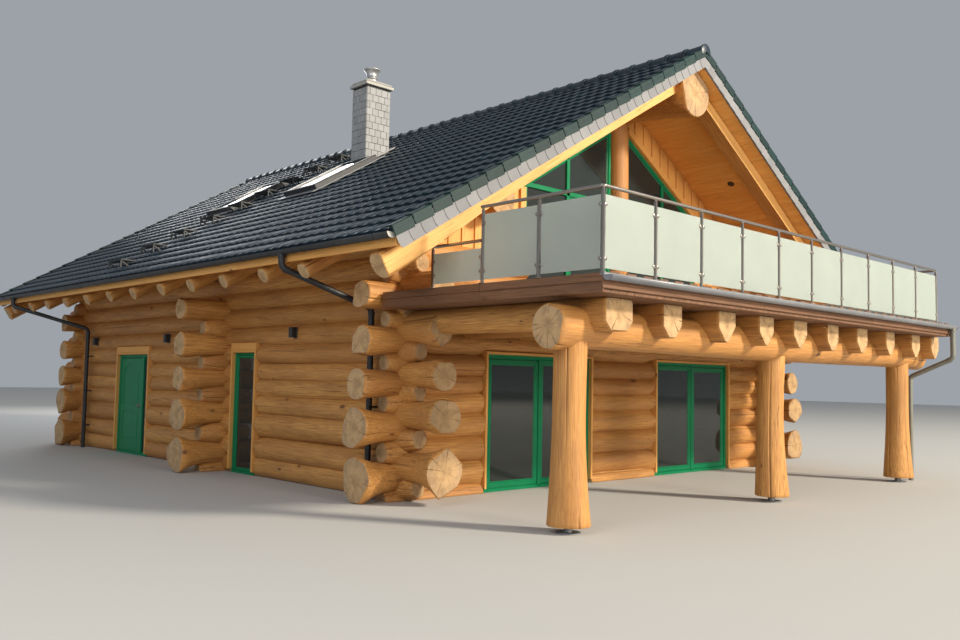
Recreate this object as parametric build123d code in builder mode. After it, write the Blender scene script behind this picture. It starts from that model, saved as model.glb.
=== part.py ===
from build123d import *
from math import cos, radians, sqrt, tan
import os

# Log house with scribed, saddle notched round logs, a log framed balcony across the front gable and
# a tiled roof. Millimetres. X runs along the front gable, Y from the balcony to the back, Z is up.
# The origin is the middle of the ground outline. The wall sizes are taken between log centre lines.

# Plan of the log walls
house_width = 9900
house_length = 12160
cross_wall_offset = 5110

# Courses of the long walls: height of the first log, then the rise from log to log
first_log_height = 170
course_rises = (310, 400, 340, 310, 260, 330, 300, 330, 320, 320, 370)
scribe_overlap = 70
scribe_gap = 1
hole_reach = 500
plate_log_radius = 240

# Log ends past the corners: every second log is long and swells towards its butt
side_log_ends = (970, 970, 910, 850, 870, 870)
gable_log_ends = (800, 850, 820, 760, 790, 790)
rear_log_end = 600
short_end = 400
gable_short_end = 350
cross_long_end = 1020
cross_short_end = 590
butt_swell = 0.65
butt_swell_height = 3000
short_end_taper = 0.62
end_swell_length = 260

# Roof
roof_pitch = 30.8
eave_overhang = 1700
front_verge_overhang = 1850
rear_verge_overhang = 1390
roof_deck_thickness = 223
tile_thickness = 60
tile_side_overhang = 30
rafter_radius = 115
rafter_spacing = 1130
rafter_count = 12
first_rafter_offset = 250
rafter_flat = 12
rafter_seat = 25
rafter_tail_setback = 130
verge_rafter_radius = 170
verge_rafter_setback = 400
verge_rafter_flat = 110
ridge_log_radius = 260
ridge_log_butt = 430
ridge_log_drop = 420
ridge_log_setback = 150
purlin_radius = 280
purlin_offset = 3450
purlin_reach = 480
fascia_thickness = 30
fascia_height = 200
fascia_setback = 60
gutter_radius = 68
gutter_wall = 5
slate_strip_height = 300
slate_strip_thickness = 25
ridge_tile_radius = 130
ridge_tile_wall = 22
downpipe_radius = 45
pipe_wall_offset = 310
pipe_bend_height = 2750
pipe_bend_radius = 110
pipe_outlet_drop = 170
front_pipe_outlet = 600
front_pipe_foot = 380
rear_pipe_outlet = 12300
rear_pipe_foot = 11400

# Floors
ground_floor_thickness = 60
upper_floor_thickness = 140
floor_bearing = 100
seat_gap = 0.3

# Doors and windows: places along each wall are measured from the front or the middle line
frame_depth = 90
frame_face = 70
frame_offset = 90
frame_sill_height = 60
opening_head = 2140
lining_thickness = 45
lining_reach = 205
side_lintel_height = 130
side_door_start = 8300
side_door_width = 1580
side_leaf_width = 1110
door_mullion_width = 60
leaf_thickness = 60
leaf_gap = 8
narrow_window_start = 3900
narrow_window_width = 780
terrace_door_width = 2510
terrace_door_left_centre = -2155
terrace_door_right_centre = 2315
leaf_frame_face = 95
pane_thickness = 24
knob_radius = 30
knob_stem_radius = 11
knob_stem_length = 45
knob_height = 1050
knob_inset = 75
hinge_barrel_length = 100
hinge_barrel_heights = (250, 1065, 1850)

# Gable glazing above the balcony
gable_glazing_half_width = 2490
gable_glazing_inner = 230
gable_mullion_offset = 1400
gable_transom_height = 5000
gable_glazing_head = 6370
gable_frame_face = 80
gable_casing_width = 140
gable_casing_depth = 160
gable_board_thickness = 60
gable_post_radius = 215

# Windows of the hidden sides
back_window_width = 1100
back_window_sill = 900
back_window_offset = 2400
back_gable_window_width = 1000
back_gable_window_height = 1200
back_gable_window_lift = 250
back_gable_window_offset = 1100

# Balcony
balcony_reach = 4150
deck_left_overhang = 600
deck_right_end = 9750
deck_top_height = 2928
deck_thickness = 188
deck_nose_height = 30
joist_places = (80, 1150, 2410, 3450, 4450, 5510, 6580, 7710, 8840, 9760)
joist_radius = 195
joist_butt = 300
joist_face = 175
joist_shoulder = 2450
joist_keel = 2255
joist_height = 2545
joist_reach = 3850
joist_tenon = 60
beam_offset = 3375
beam_height = 2370
beam_radius = 250
beam_left_end = 630
beam_right_end = 9950
post_radius = 200
post_foot_radius = 255
post_foot_rise = 1300
post_foot_lean = 0.25
post_shoe_height = 80
post_shoe_plate = 12
post_shoe_radius = 150
post_shoe_stem = 55
post_first = -225
post_middle = 4450
post_last = 9150
rail_left = -576
rail_front = 4122
rail_panel = 965
rail_panel_count = 10
rail_side_panel = 945
rail_side_count = 2
rail_low_drop = 420
rail_height = 957
rail_post_radius = 21
handrail_radius = 21
rail_glass_thickness = 10
rail_glass_gap = 12
rail_glass_lift = 45
rail_glass_drop = 95
rail_plate = 4
balcony_gutter_radius = 60
balcony_pipe_inset = 120
balcony_pipe_reach = 60
balcony_pipe_bend_high = 2300
balcony_pipe_bend_low = 1950
clamp_inset = 110
clamp_length = 45
clamp_depth = 28
clamp_height = 45

# Chimney and roof fittings
chimney_left = 2820
chimney_width = 610
chimney_front = 4940
chimney_depth = 510
chimney_top = 7910
chimney_gap = 10
passage_width = 1000
chimney_cap_overhang = 55
chimney_cap_height = 120
flue_radius = 120
flue_height = 190
cowl_radius = 165
cowl_height = 110
skylight_up = 3560
skylight_length = 1700
skylight_width = 1140
skylight_front_offset = 4450
skylight_rear_offset = 7780
skylight_border = 90
skylight_rise = 110
step_count = 9
step_first_up = 750
step_spacing = 730
step_offset = 7330
step_width = 420
step_depth = 230
step_bar = 26
lamp_size = 110
lamp_height = 190
lamp_depth = 110
lamp_foot = 2360
front_lamp_foot = 2470
lamp_places = (2600, 7320, 11070)
front_lamp_place = 760

# Places worked out from the sizes above
slope = tan(radians(roof_pitch))
upright = 1 / cos(radians(roof_pitch))
half_width = house_width / 2
front_reach = balcony_reach + 2 * balcony_gutter_radius
overall_length = front_reach + house_length + rear_verge_overhang + slate_strip_thickness + tile_side_overhang
front_y = front_reach - overall_length / 2
cross_y = front_y + cross_wall_offset
back_y = front_y + house_length
verge_front_y = front_y - front_verge_overhang
verge_back_y = back_y + rear_verge_overhang

long_heights = [first_log_height]
for rise in course_rises:
    long_heights.append(long_heights[-1] + rise)
course_count = len(long_heights)
short_heights = [0] + [(long_heights[i] + long_heights[i + 1]) / 2 for i in range(course_count - 1)]

plate_top = long_heights[-1] + plate_log_radius
rafter_axis_at_wall = plate_top - rafter_seat + rafter_radius * upright
deck_under_at_wall = rafter_axis_at_wall + (rafter_radius - rafter_flat) * upright
deck_over_at_wall = deck_under_at_wall + roof_deck_thickness * upright
tile_over_at_wall = deck_over_at_wall + tile_thickness * upright
tile_over_at_ridge = tile_over_at_wall + half_width * slope
deck_under_at_ridge = deck_under_at_wall + half_width * slope
eave_half = half_width + eave_overhang
deck_half = eave_half - fascia_setback - fascia_thickness
ridge_log_height = deck_under_at_ridge - ridge_log_drop


def block(low, high):
    """A plain block from its lowest to its highest corner."""
    with BuildPart() as piece:
        with Locations(Vector(*low)):
            Box(high[0] - low[0], high[1] - low[1], high[2] - low[2], align=(Align.MIN, Align.MIN, Align.MIN))
    return piece.part


def prism(plane, points, depth):
    """A flat outline on a plane, drawn out along its normal."""
    with BuildPart() as piece:
        with BuildSketch(plane):
            with BuildLine():
                Polyline(*points, close=True)
            make_face()
        extrude(amount=depth)
    return piece.part


def course_radius(heights, index):
    """In-wall radius of a log: a quarter of the two rises beside it plus half the scribed overlap."""
    below = heights[index] - heights[index - 1] if index > 0 else None
    above = heights[index + 1] - heights[index] if index < len(heights) - 1 else None
    below = above if below is None else below
    above = below if above is None else above
    return (below + above) / 4 + scribe_overlap / 2


def wall_reach(heights, low, high):
    """How far a log wall stands out from its middle between two heights."""
    reach = 0
    for i, height in enumerate(heights):
        off = max(low - height, height - high, 0)
        radius = course_radius(heights, i)
        if off < radius:
            reach = max(reach, sqrt(radius ** 2 - off ** 2))
    return reach


def log_plane(along, across, height):
    """Plane through a log's centre line: local x runs along the log, local y is up."""
    if along == "x":
        return Plane(origin=(0, across, height), x_dir=(1, 0, 0), z_dir=(0, -1, 0))
    return Plane(origin=(across, 0, height), x_dir=(0, 1, 0), z_dir=(1, 0, 0))


def log_body(log, grow=0):
    """A round log turned about its centre line, with tapered or swelling ends."""
    along, across, height, start, end, radius, start_tip, end_tip = log
    plane = log_plane(along, across, height)
    points = [(start - grow, 0), (start - grow, start_tip + grow)]
    if start_tip != radius:
        points.append((start + end_swell_length + abs(start_tip - radius), radius + grow))
    if end_tip != radius:
        points.append((end - end_swell_length - abs(end_tip - radius), radius + grow))
    points.append((end + grow, end_tip + grow))
    points.append((end + grow, 0))
    with BuildPart() as body:
        with BuildSketch(plane):
            with BuildLine():
                Polyline(*points, close=True)
            make_face()
        revolve(axis=Axis(plane.origin, plane.x_dir))
    return body.part


def end_tip_radius(radius, height, is_long):
    """Long ends swell more the lower they lie, short ends taper."""
    if not is_long:
        return radius * short_end_taper
    return radius * (1 + butt_swell * max(0.1, 1 - height / butt_swell_height))


def course_log(along, across, heights, index, start, end, long_reach, short_reach):
    """One log of a course, with both ends past the walls that it crosses."""
    radius = course_radius(heights, index)
    is_long = index % 2 == 1 and heights[index] < short_heights[-1]
    reach = long_reach if is_long else short_reach
    tip = end_tip_radius(radius, heights[index], is_long)
    return [along, across, heights[index], start - reach, end + reach, radius, tip, tip]


# Every log of the walls, from the bottom up
left_logs = []
right_logs = []
for course in range(course_count):
    for across, logs in ((-half_width, left_logs), (half_width, right_logs)):
        log = course_log("y", across, long_heights, course, front_y, back_y,
                         side_log_ends[course // 2], short_end)
        if course == course_count - 1:
            log[5] = log[6] = log[7] = plate_log_radius
        if long_heights[course] < deck_top_height < long_heights[course + 1]:
            log[3] = front_y - log[5]
            log[6] = log[5]
        logs.append(log)

front_logs = []
back_logs = []
cross_logs = []
for course in range(course_count):
    front_logs.append(course_log("x", front_y, short_heights, course, -half_width, half_width,
                                 gable_log_ends[course // 2], gable_short_end))
    back_logs.append(course_log("x", back_y, short_heights, course, -half_width, half_width,
                                rear_log_end, gable_short_end))
    if short_heights[course] < deck_top_height:
        cross_logs.append(course_log("x", cross_y, short_heights, course, -half_width, half_width,
                                     cross_long_end, cross_short_end))


def scribed(log, lower_logs, cut_boxes=()):
    """A log with its long groove and saddle notches, cut by the logs that it lies on."""
    along, across, height, start, end, radius, start_tip, end_tip = log
    with BuildPart() as piece:
        add(log_body(log))
        for lower in lower_logs:
            if 0 < height - lower[2] < radius + lower[5] and crosses(log, lower):
                add(log_body(lower, scribe_gap), mode=Mode.SUBTRACT)
        if height < max(radius, start_tip, end_tip):
            with Locations((0, 0, 0)):
                Box(4 * half_width, 2 * overall_length, 2 * hole_reach,
                    align=(Align.CENTER, Align.CENTER, Align.MAX), mode=Mode.SUBTRACT)
        for low, high in cut_boxes:
            if low[2] < height + radius and high[2] > height - radius:
                add(block(low, high), mode=Mode.SUBTRACT)
    return piece.part


def crosses(log, lower):
    """Whether two logs meet in plan: side by side in one wall, or one wall over another."""
    if log[0] == lower[0]:
        return log[1] == lower[1]
    return log[3] - lower[5] < lower[1] < log[4] + lower[5] and lower[3] < log[1] < lower[4]


def long_wall_hole(side, start, width, bottom, top):
    """Opening through the left (-1) or right (1) wall, lining included."""
    x = side * half_width
    reach = hole_reach
    edge = lining_thickness + seat_gap
    return ((x - reach, start - edge, bottom), (x + reach, start + width + edge, top))


def short_wall_hole(across, centre, width, bottom, top):
    """Opening through the front or back wall, lining included."""
    reach = hole_reach
    edge = lining_thickness + seat_gap
    return ((centre - width / 2 - edge, across - reach, bottom),
            (centre + width / 2 + edge, across + reach, top))


# Openings in the walls; frames, doors and linings use the same places
side_door_y = front_y + side_door_start
narrow_y = front_y + narrow_window_start
lintel_top = opening_head + side_lintel_height + lining_thickness + seat_gap
head_top = opening_head + lining_thickness + seat_gap
floor_low = -1
side_door_hole = long_wall_hole(-1, side_door_y, side_door_width, floor_low, lintel_top)
left_window_hole = long_wall_hole(-1, narrow_y, narrow_window_width, floor_low, lintel_top)
right_window_starts = (narrow_y, side_door_y)
right_window_holes = [long_wall_hole(1, y, narrow_window_width, floor_low, lintel_top)
                      for y in right_window_starts]
terrace_centres = (terrace_door_left_centre, terrace_door_right_centre)
terrace_holes = [short_wall_hole(front_y, x, terrace_door_width, floor_low, head_top)
                 for x in terrace_centres]
back_window_centres = (-back_window_offset, back_window_offset)
back_window_holes = [short_wall_hole(back_y, x, back_window_width, back_window_sill - seat_gap, head_top)
                     for x in back_window_centres]

# The gable glazing stands on the flat cut crown of the eighth cross course
upper_floor_under = short_heights[8] + course_radius(short_heights, 8)
wall_half = max(course_radius(short_heights, i) for i in range(course_count))
gable_sill = short_heights[9] - course_radius(short_heights, 9)
gable_hole = ((-gable_glazing_half_width - seat_gap, front_y - hole_reach, gable_sill),
              (gable_glazing_half_width + seat_gap, front_y + hole_reach, plate_top))

# Chimney shaft, with the passage in the cross wall beside it
chimney_x = chimney_left - half_width
chimney_y = front_y + chimney_front
passage_hole = ((chimney_x - chimney_gap, cross_y - hole_reach, floor_low),
                (chimney_x + chimney_width + passage_width, cross_y + hole_reach, opening_head))
shaft_hole = ((chimney_x - chimney_gap, chimney_y - chimney_gap, floor_low),
              (chimney_x + chimney_width + chimney_gap, chimney_y + chimney_depth + chimney_gap, chimney_top))
wall_shaft_hole = ((shaft_hole[0][0], cross_y - hole_reach, floor_low),
                   (shaft_hole[1][0], cross_y + hole_reach, chimney_top))

# Floors are let into the logs all round
ground_low = (-half_width + floor_bearing, front_y + floor_bearing, 0)
ground_high = (half_width - floor_bearing, back_y - floor_bearing, ground_floor_thickness)
ground_rebate = ((ground_low[0] - seat_gap, ground_low[1] - seat_gap, floor_low),
                 (ground_high[0] + seat_gap, ground_high[1] + seat_gap, ground_high[2] + seat_gap))
upper_low = (-half_width + floor_bearing, front_y + floor_bearing, upper_floor_under + seat_gap)
upper_high = (half_width - floor_bearing, back_y - floor_bearing, upper_low[2] + upper_floor_thickness)
upper_rebate = ((upper_low[0] - seat_gap, upper_low[1] - seat_gap, upper_floor_under),
                (upper_high[0] + seat_gap, upper_high[1] + seat_gap, upper_high[2] + seat_gap))
cross_stub_hole = ((upper_low[0] - seat_gap, cross_y - hole_reach, upper_floor_under),
                   (upper_high[0] + seat_gap, cross_y + hole_reach, plate_top))

# Balcony joists: the inner ones are let into the front wall, the outer ones butt against it
joist_xs = [place - half_width for place in joist_places]
joist_top = deck_top_height - deck_thickness - deck_nose_height
pocket_half = joist_face + scribe_gap
pocket_low = joist_height - joist_radius - scribe_gap
joist_pockets = [((x - pocket_half, front_y - joist_reach, pocket_low),
                  (x + pocket_half, front_y - joist_tenon, joist_top + scribe_gap)) for x in joist_xs[1:-1]]

# The deck of the balcony runs under the log ends above it
deck_left = -half_width - deck_left_overhang
deck_right = deck_right_end - half_width
deck_back = front_y - max(wall_half, gable_post_radius) - seat_gap
deck_front = front_y - balcony_reach
slab_low = joist_top + seat_gap
slab_high = deck_top_height - deck_nose_height
deck_rebate = ((deck_left, deck_front, slab_low - seat_gap),
               (-deck_left, deck_back + seat_gap, deck_top_height + seat_gap))

all_short = front_logs + back_logs + cross_logs
all_long = left_logs + right_logs


def wall_of(logs, lower_logs, holes=()):
    """Scribed solids of a whole wall, from the bottom up."""
    solids = []
    for log in logs:
        solids.extend(scribed(log, lower_logs, holes).solids())
    return solids


def save(solids, label):
    """Write one named piece, made of one or several solids."""
    with BuildPart() as piece:
        add(solids)
    piece.part.label = label
    export_step(piece.part, f"parts/{label}.step")


os.makedirs("parts", exist_ok=True)

# Left wall: beside the narrow window and the side door, and the full logs over them
left_solids = wall_of(left_logs, left_logs + all_short,
                      [side_door_hole, left_window_hole, ground_rebate, upper_rebate, deck_rebate])
over_door = [s for s in left_solids if s.bounding_box().size.Y > house_length]
beside_door = [s for s in left_solids if s.bounding_box().size.Y <= house_length]
save([s for s in beside_door if s.center().Y < narrow_y], "left_wall_front")
save([s for s in beside_door if narrow_y < s.center().Y < side_door_y], "left_wall_middle")
save([s for s in beside_door if s.center().Y > side_door_y], "left_wall_back")
save(over_door, "left_wall_upper")

save(wall_of(right_logs, right_logs + all_short,
             right_window_holes + [ground_rebate, upper_rebate, deck_rebate]), "right_wall")

# Front wall: beside and over the terrace doors, with the stubs beside the gable glazing
front_solids = wall_of(front_logs, front_logs + all_long,
                       terrace_holes + [gable_hole, ground_rebate, upper_rebate] + joist_pockets)
beside_terrace = [s for s in front_solids
                  if s.bounding_box().size.X < house_width and s.center().Z < opening_head]
left_edge = terrace_door_left_centre
right_edge = terrace_door_right_centre
save([s for s in beside_terrace if s.center().X < left_edge], "front_wall_left")
save([s for s in beside_terrace if left_edge < s.center().X < right_edge], "front_wall_middle")
save([s for s in beside_terrace if s.center().X > right_edge], "front_wall_right")
save([s for s in front_solids if s not in beside_terrace], "front_wall_upper")

save(wall_of(back_logs, back_logs + all_long, back_window_holes + [ground_rebate, upper_rebate]), "back_wall")
save(wall_of(cross_logs, cross_logs + all_long,
             [passage_hole, wall_shaft_hole, ground_rebate, cross_stub_hole]), "cross_wall")

# Ground floor slab, with the cross wall and the chimney standing through it
with BuildPart() as ground_floor:
    add(block(ground_low, ground_high))
    cross_half = course_radius(short_heights, 0) + seat_gap
    for low_x, high_x in ((ground_low[0] - 1, passage_hole[0][0]), (passage_hole[1][0], ground_high[0] + 1)):
        add(block((low_x, cross_y - cross_half, floor_low), (high_x, cross_y + cross_half, 2 * cross_half)),
            mode=Mode.SUBTRACT)
    add(block((chimney_x - seat_gap, chimney_y - seat_gap, floor_low),
              (chimney_x + chimney_width + seat_gap, chimney_y + chimney_depth + seat_gap, 2 * cross_half)),
        mode=Mode.SUBTRACT)
save(ground_floor.part.solids(), "ground_floor")

with BuildPart() as upper_floor:
    add(block(upper_low, upper_high))
    add(block(*shaft_hole), mode=Mode.SUBTRACT)
    with Locations((0, front_y, upper_low[2])):
        Cylinder(gable_post_radius + seat_gap, 2 * upper_floor_thickness, mode=Mode.SUBTRACT)
save(upper_floor.part.solids(), "upper_floor")

# Roof sections are drawn in the XZ plane and run along Y
eave_edge = eave_half - fascia_setback


def at(height_at_wall, x):
    """Height of a plane parallel to the left roof slope, over the place x."""
    return height_at_wall + (half_width - abs(x)) * slope


def slope_band(side, inner, outer, under, over):
    """Corners of a band of the roof section between two heights, from the ridge to the eave."""
    return [(side * inner, at(under, inner)), (side * outer, at(under, outer)),
            (side * outer, at(over, outer)), (side * inner, at(over, inner))]


def run_plane(start):
    """Section plane of everything that runs along Y, facing the back."""
    return Plane(origin=(0, start, 0), x_dir=(-1, 0, 0), z_dir=(0, 1, 0))


def along_roof(points, start, end):
    """Section points drawn out along Y from start to end."""
    return prism(run_plane(start), [(-x, z) for x, z in points], end - start)


def slope_plane(lift=0):
    """Plane on top of the left roof deck: local x up the slope from the eave edge, local y to the back."""
    run = cos(radians(roof_pitch))
    up = (run, 0, slope * run)
    normal = (-slope * run, 0, run)
    origin = Vector(-eave_half, front_y, at(deck_over_at_wall, eave_half)) + Vector(*normal) * lift
    return Plane(origin=origin, x_dir=up, z_dir=normal)


skylight_centres = [(skylight_up + skylight_length / 2, y + skylight_width / 2)
                    for y in (skylight_front_offset, skylight_rear_offset)]


def skylight_blocks(margin, low, high):
    """Blocks on the left slope over both skylights, grown by a margin."""
    with BuildPart() as blocks:
        with BuildSketch(slope_plane(low)):
            with Locations(*skylight_centres):
                Rectangle(skylight_length + 2 * margin, skylight_width + 2 * margin)
        extrude(amount=high - low)
    return blocks.part


# Roof decks and their tile layers, cut for the chimney and the skylights
deck_inner = seat_gap / 2
tile_front_y = verge_front_y - slate_strip_thickness - tile_side_overhang
tile_back_y = verge_back_y + slate_strip_thickness + tile_side_overhang
for side, name in ((-1, "left"), (1, "right")):
    with BuildPart() as roof_deck:
        add(along_roof(slope_band(side, deck_inner, deck_half, deck_under_at_wall, deck_over_at_wall),
                       verge_front_y, verge_back_y))
        if side < 0:
            add(block(*shaft_hole), mode=Mode.SUBTRACT)
            add(skylight_blocks(-skylight_border, -2 * roof_deck_thickness, roof_deck_thickness),
                mode=Mode.SUBTRACT)
    save(roof_deck.part.solids(), f"{name}_roof_deck")
    with BuildPart() as tiles:
        add(along_roof(slope_band(side, deck_inner, eave_half, deck_over_at_wall, tile_over_at_wall),
                       tile_front_y, tile_back_y))
        if side < 0:
            add(block(*shaft_hole), mode=Mode.SUBTRACT)
            add(skylight_blocks(seat_gap, -tile_thickness, 2 * tile_thickness), mode=Mode.SUBTRACT)
    save(tiles.part.solids(), f"{name}_roof_tiles")

# Ridge tiles, a run of half round caps on the two tile layers
ridge_foot = ridge_tile_radius * slope
with BuildPart() as ridge_cap:
    with BuildSketch(run_plane(tile_front_y)):
        with Locations((0, tile_over_at_ridge - ridge_foot)):
            Circle(ridge_tile_radius)
            Circle(ridge_tile_radius - ridge_tile_wall, mode=Mode.SUBTRACT)
        with BuildLine():
            Polyline((0, tile_over_at_ridge), (-house_width, at(tile_over_at_wall, house_width)),
                     (house_width, at(tile_over_at_wall, house_width)), close=True)
        make_face(mode=Mode.SUBTRACT)
    extrude(amount=tile_back_y - tile_front_y)
save(ridge_cap.part.solids(), "ridge_cap")

# Slate clad strips on the four verge faces
verge_strips = []
strip_under = deck_over_at_wall - slate_strip_height
for side in (-1, 1):
    for start in (verge_front_y - slate_strip_thickness, verge_back_y):
        band = slope_band(side, deck_inner, eave_edge, strip_under, deck_over_at_wall)
        verge_strips.append(along_roof(band, start, start + slate_strip_thickness))
save(verge_strips, "verge_slates")

# Fascia boards and half round gutters along both eaves
fascias = []
gutters = []
fascia_top = at(deck_over_at_wall, eave_edge)
gutter_x = eave_edge + gutter_radius + seat_gap
gutter_rim = at(deck_over_at_wall, eave_half) - gutter_wall
for side in (-1, 1):
    low_x = min(side * deck_half, side * eave_edge)
    fascias.append(block((low_x, verge_front_y, fascia_top - fascia_height),
                         (low_x + fascia_thickness, verge_back_y, fascia_top - seat_gap)))
    with BuildPart() as gutter:
        with BuildSketch(run_plane(verge_front_y)):
            with Locations((-side * gutter_x, gutter_rim)):
                Circle(gutter_radius)
                Rectangle(2 * gutter_radius, gutter_radius, align=(Align.CENTER, Align.MIN),
                          mode=Mode.SUBTRACT)
        extrude(amount=verge_back_y - verge_front_y)
        with BuildSketch(run_plane(verge_front_y + gutter_wall)):
            with Locations((-side * gutter_x, gutter_rim)):
                Circle(gutter_radius - gutter_wall)
        extrude(amount=verge_back_y - verge_front_y - 2 * gutter_wall, mode=Mode.SUBTRACT)
    gutters.append(gutter.part)
save(fascias, "eave_fascias")
save(gutters, "eave_gutters")

# Downpipes: out of the gutter, slanting back to the wall and down to the ground
pipes = []
pipe_top = gutter_rim - gutter_radius - seat_gap
pipe_wall_x = half_width + pipe_wall_offset
for side in (-1, 1):
    for outlet_y, foot_y in ((front_pipe_outlet, front_pipe_foot), (rear_pipe_outlet, rear_pipe_foot)):
        corners = [(side * gutter_x, front_y + outlet_y, pipe_top),
                   (side * gutter_x, front_y + outlet_y, pipe_top - pipe_outlet_drop),
                   (side * pipe_wall_x, front_y + foot_y, pipe_bend_height),
                   (side * pipe_wall_x, front_y + foot_y, 0)]
        with BuildPart() as pipe:
            with BuildLine() as route:
                FilletPolyline(*corners, radius=pipe_bend_radius)
            with BuildSketch(Plane(origin=corners[0], z_dir=(0, 0, -1))):
                Circle(downpipe_radius)
            sweep(path=route.wire())
        pipes.append(pipe.part)
save(pipes, "downpipes")


def sloping_log(radius, side, y, inner, outer, axis_at_wall):
    """A round log along the roof slope at the place y, cut upright at both ends."""
    run = cos(radians(roof_pitch))
    spare = 2 * radius
    start = (side * (inner - spare), y, at(axis_at_wall, inner - spare) if inner > spare
             else axis_at_wall + (half_width - inner + spare) * slope)
    direction = (side * run, 0, -slope * run)
    with BuildPart() as piece:
        with BuildSketch(Plane(origin=start, x_dir=(0, 1, 0), z_dir=direction)):
            Circle(radius)
        extrude(amount=(outer - inner + 2 * spare) / run)
        low = (min(side * inner, side * outer), y - spare, 0)
        high = (max(side * inner, side * outer), y + spare, chimney_top)
        add(block(low, high), mode=Mode.INTERSECT)
    return piece.part


# Ridge log and purlins; the ridge log swells to its butt under the verge
ridge_start = verge_front_y + ridge_log_setback
ridge_log = ["y", 0, ridge_log_height, ridge_start, verge_back_y - ridge_log_setback,
             ridge_log_radius, ridge_log_butt, ridge_log_radius]
rafter_under_at_wall = rafter_axis_at_wall - rafter_radius * upright
purlin_height = at(rafter_under_at_wall, purlin_offset) - purlin_radius * upright + rafter_seat
purlins = [["y", side * purlin_offset, purlin_height, front_y - purlin_reach, back_y + purlin_reach,
            purlin_radius, purlin_radius, purlin_radius] for side in (-1, 1)]
under_roof = along_roof([(-house_width, at(deck_under_at_wall - seat_gap, house_width)),
                         (0, at(deck_under_at_wall - seat_gap, 0)),
                         (house_width, at(deck_under_at_wall - seat_gap, house_width)),
                         (house_width, 0), (-house_width, 0)], -overall_length, overall_length)
with BuildPart() as roof_logs:
    add(log_body(ridge_log))
    add(under_roof, mode=Mode.INTERSECT)
save([roof_logs.part] + [log_body(purlin) for purlin in purlins], "ridge_and_purlins")

# Common rafters: flat on top, seated on the plate log, the purlin and the ridge log
rafter_outer = eave_half - rafter_tail_setback
rafters = []
verge_rafters = []
for side in (-1, 1):
    plate = (left_logs if side < 0 else right_logs)[-1]
    purlin = purlins[0 if side < 0 else 1]
    with BuildPart() as rafter:
        add(sloping_log(rafter_radius, side, 0, seat_gap, rafter_outer, rafter_axis_at_wall))
        add(under_roof, mode=Mode.INTERSECT)
        for carrier in (plate, purlin, ridge_log):
            straight = carrier[:3] + [-house_width, house_width] + [carrier[5]] * 3
            add(log_body(straight, seat_gap), mode=Mode.SUBTRACT)
    rafter_solid = rafter.part.solids().sort_by(SortBy.VOLUME)[-1]
    for i in range(rafter_count):
        rafter_y = front_y + first_rafter_offset + i * rafter_spacing
        rafters.append(rafter_solid.moved(Location((0, rafter_y, 0))))
    verge_axis = deck_under_at_wall - (verge_rafter_radius - rafter_flat) * upright
    for y, outside in ((verge_front_y + verge_rafter_setback, -1), (verge_back_y - verge_rafter_setback, 1)):
        with BuildPart() as verge_rafter:
            add(sloping_log(verge_rafter_radius, side, y, seat_gap, rafter_outer, verge_axis))
            add(under_roof, mode=Mode.INTERSECT)
            face_low = y + outside * verge_rafter_flat
            add(block((-house_width, min(face_low, face_low + outside * house_width), -house_width),
                      (house_width, max(face_low, face_low + outside * house_width), house_width)),
                mode=Mode.SUBTRACT)
            for carrier in (plate, ridge_log):
                add(log_body(carrier, seat_gap), mode=Mode.SUBTRACT)
        verge_rafters.append(verge_rafter.part.solids().sort_by(SortBy.VOLUME)[-1])
save(rafters, "rafters")
save(verge_rafters, "verge_rafters")

# Posts under the ridge log: one between the gable windows, one inside the back gable
posts = []
back_post_y = back_y - wall_half - gable_post_radius - seat_gap
for y, foot in ((front_y, gable_sill + seat_gap), (back_post_y, upper_high[2] + seat_gap)):
    with BuildPart() as post:
        with BuildSketch(Plane(origin=(0, y, foot))):
            Circle(gable_post_radius)
        extrude(amount=ridge_log_height - foot)
        add(log_body(ridge_log, seat_gap), mode=Mode.SUBTRACT)
    posts.append(post.part.solids().sort_by(SortBy.VOLUME)[-1])
save(posts, "gable_posts")

# Gable glazing: a door-high part below the transom and a sloping part above it, on both sides
glazing_low = gable_sill + seat_gap
glazing_edge_height = gable_glazing_head - (gable_glazing_half_width - gable_glazing_inner) * slope


def glazing_outline(side, grow=0):
    """Outline of one half of the gable glazing, grown by a margin."""
    inner = side * (gable_glazing_inner - grow)
    outer = side * (gable_glazing_half_width + grow)
    lift = grow * upright + grow * slope
    return [(inner, glazing_low - grow), (outer, glazing_low - grow),
            (outer, glazing_edge_height + lift - grow * 2 * slope), (inner, gable_glazing_head + lift)]


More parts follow.
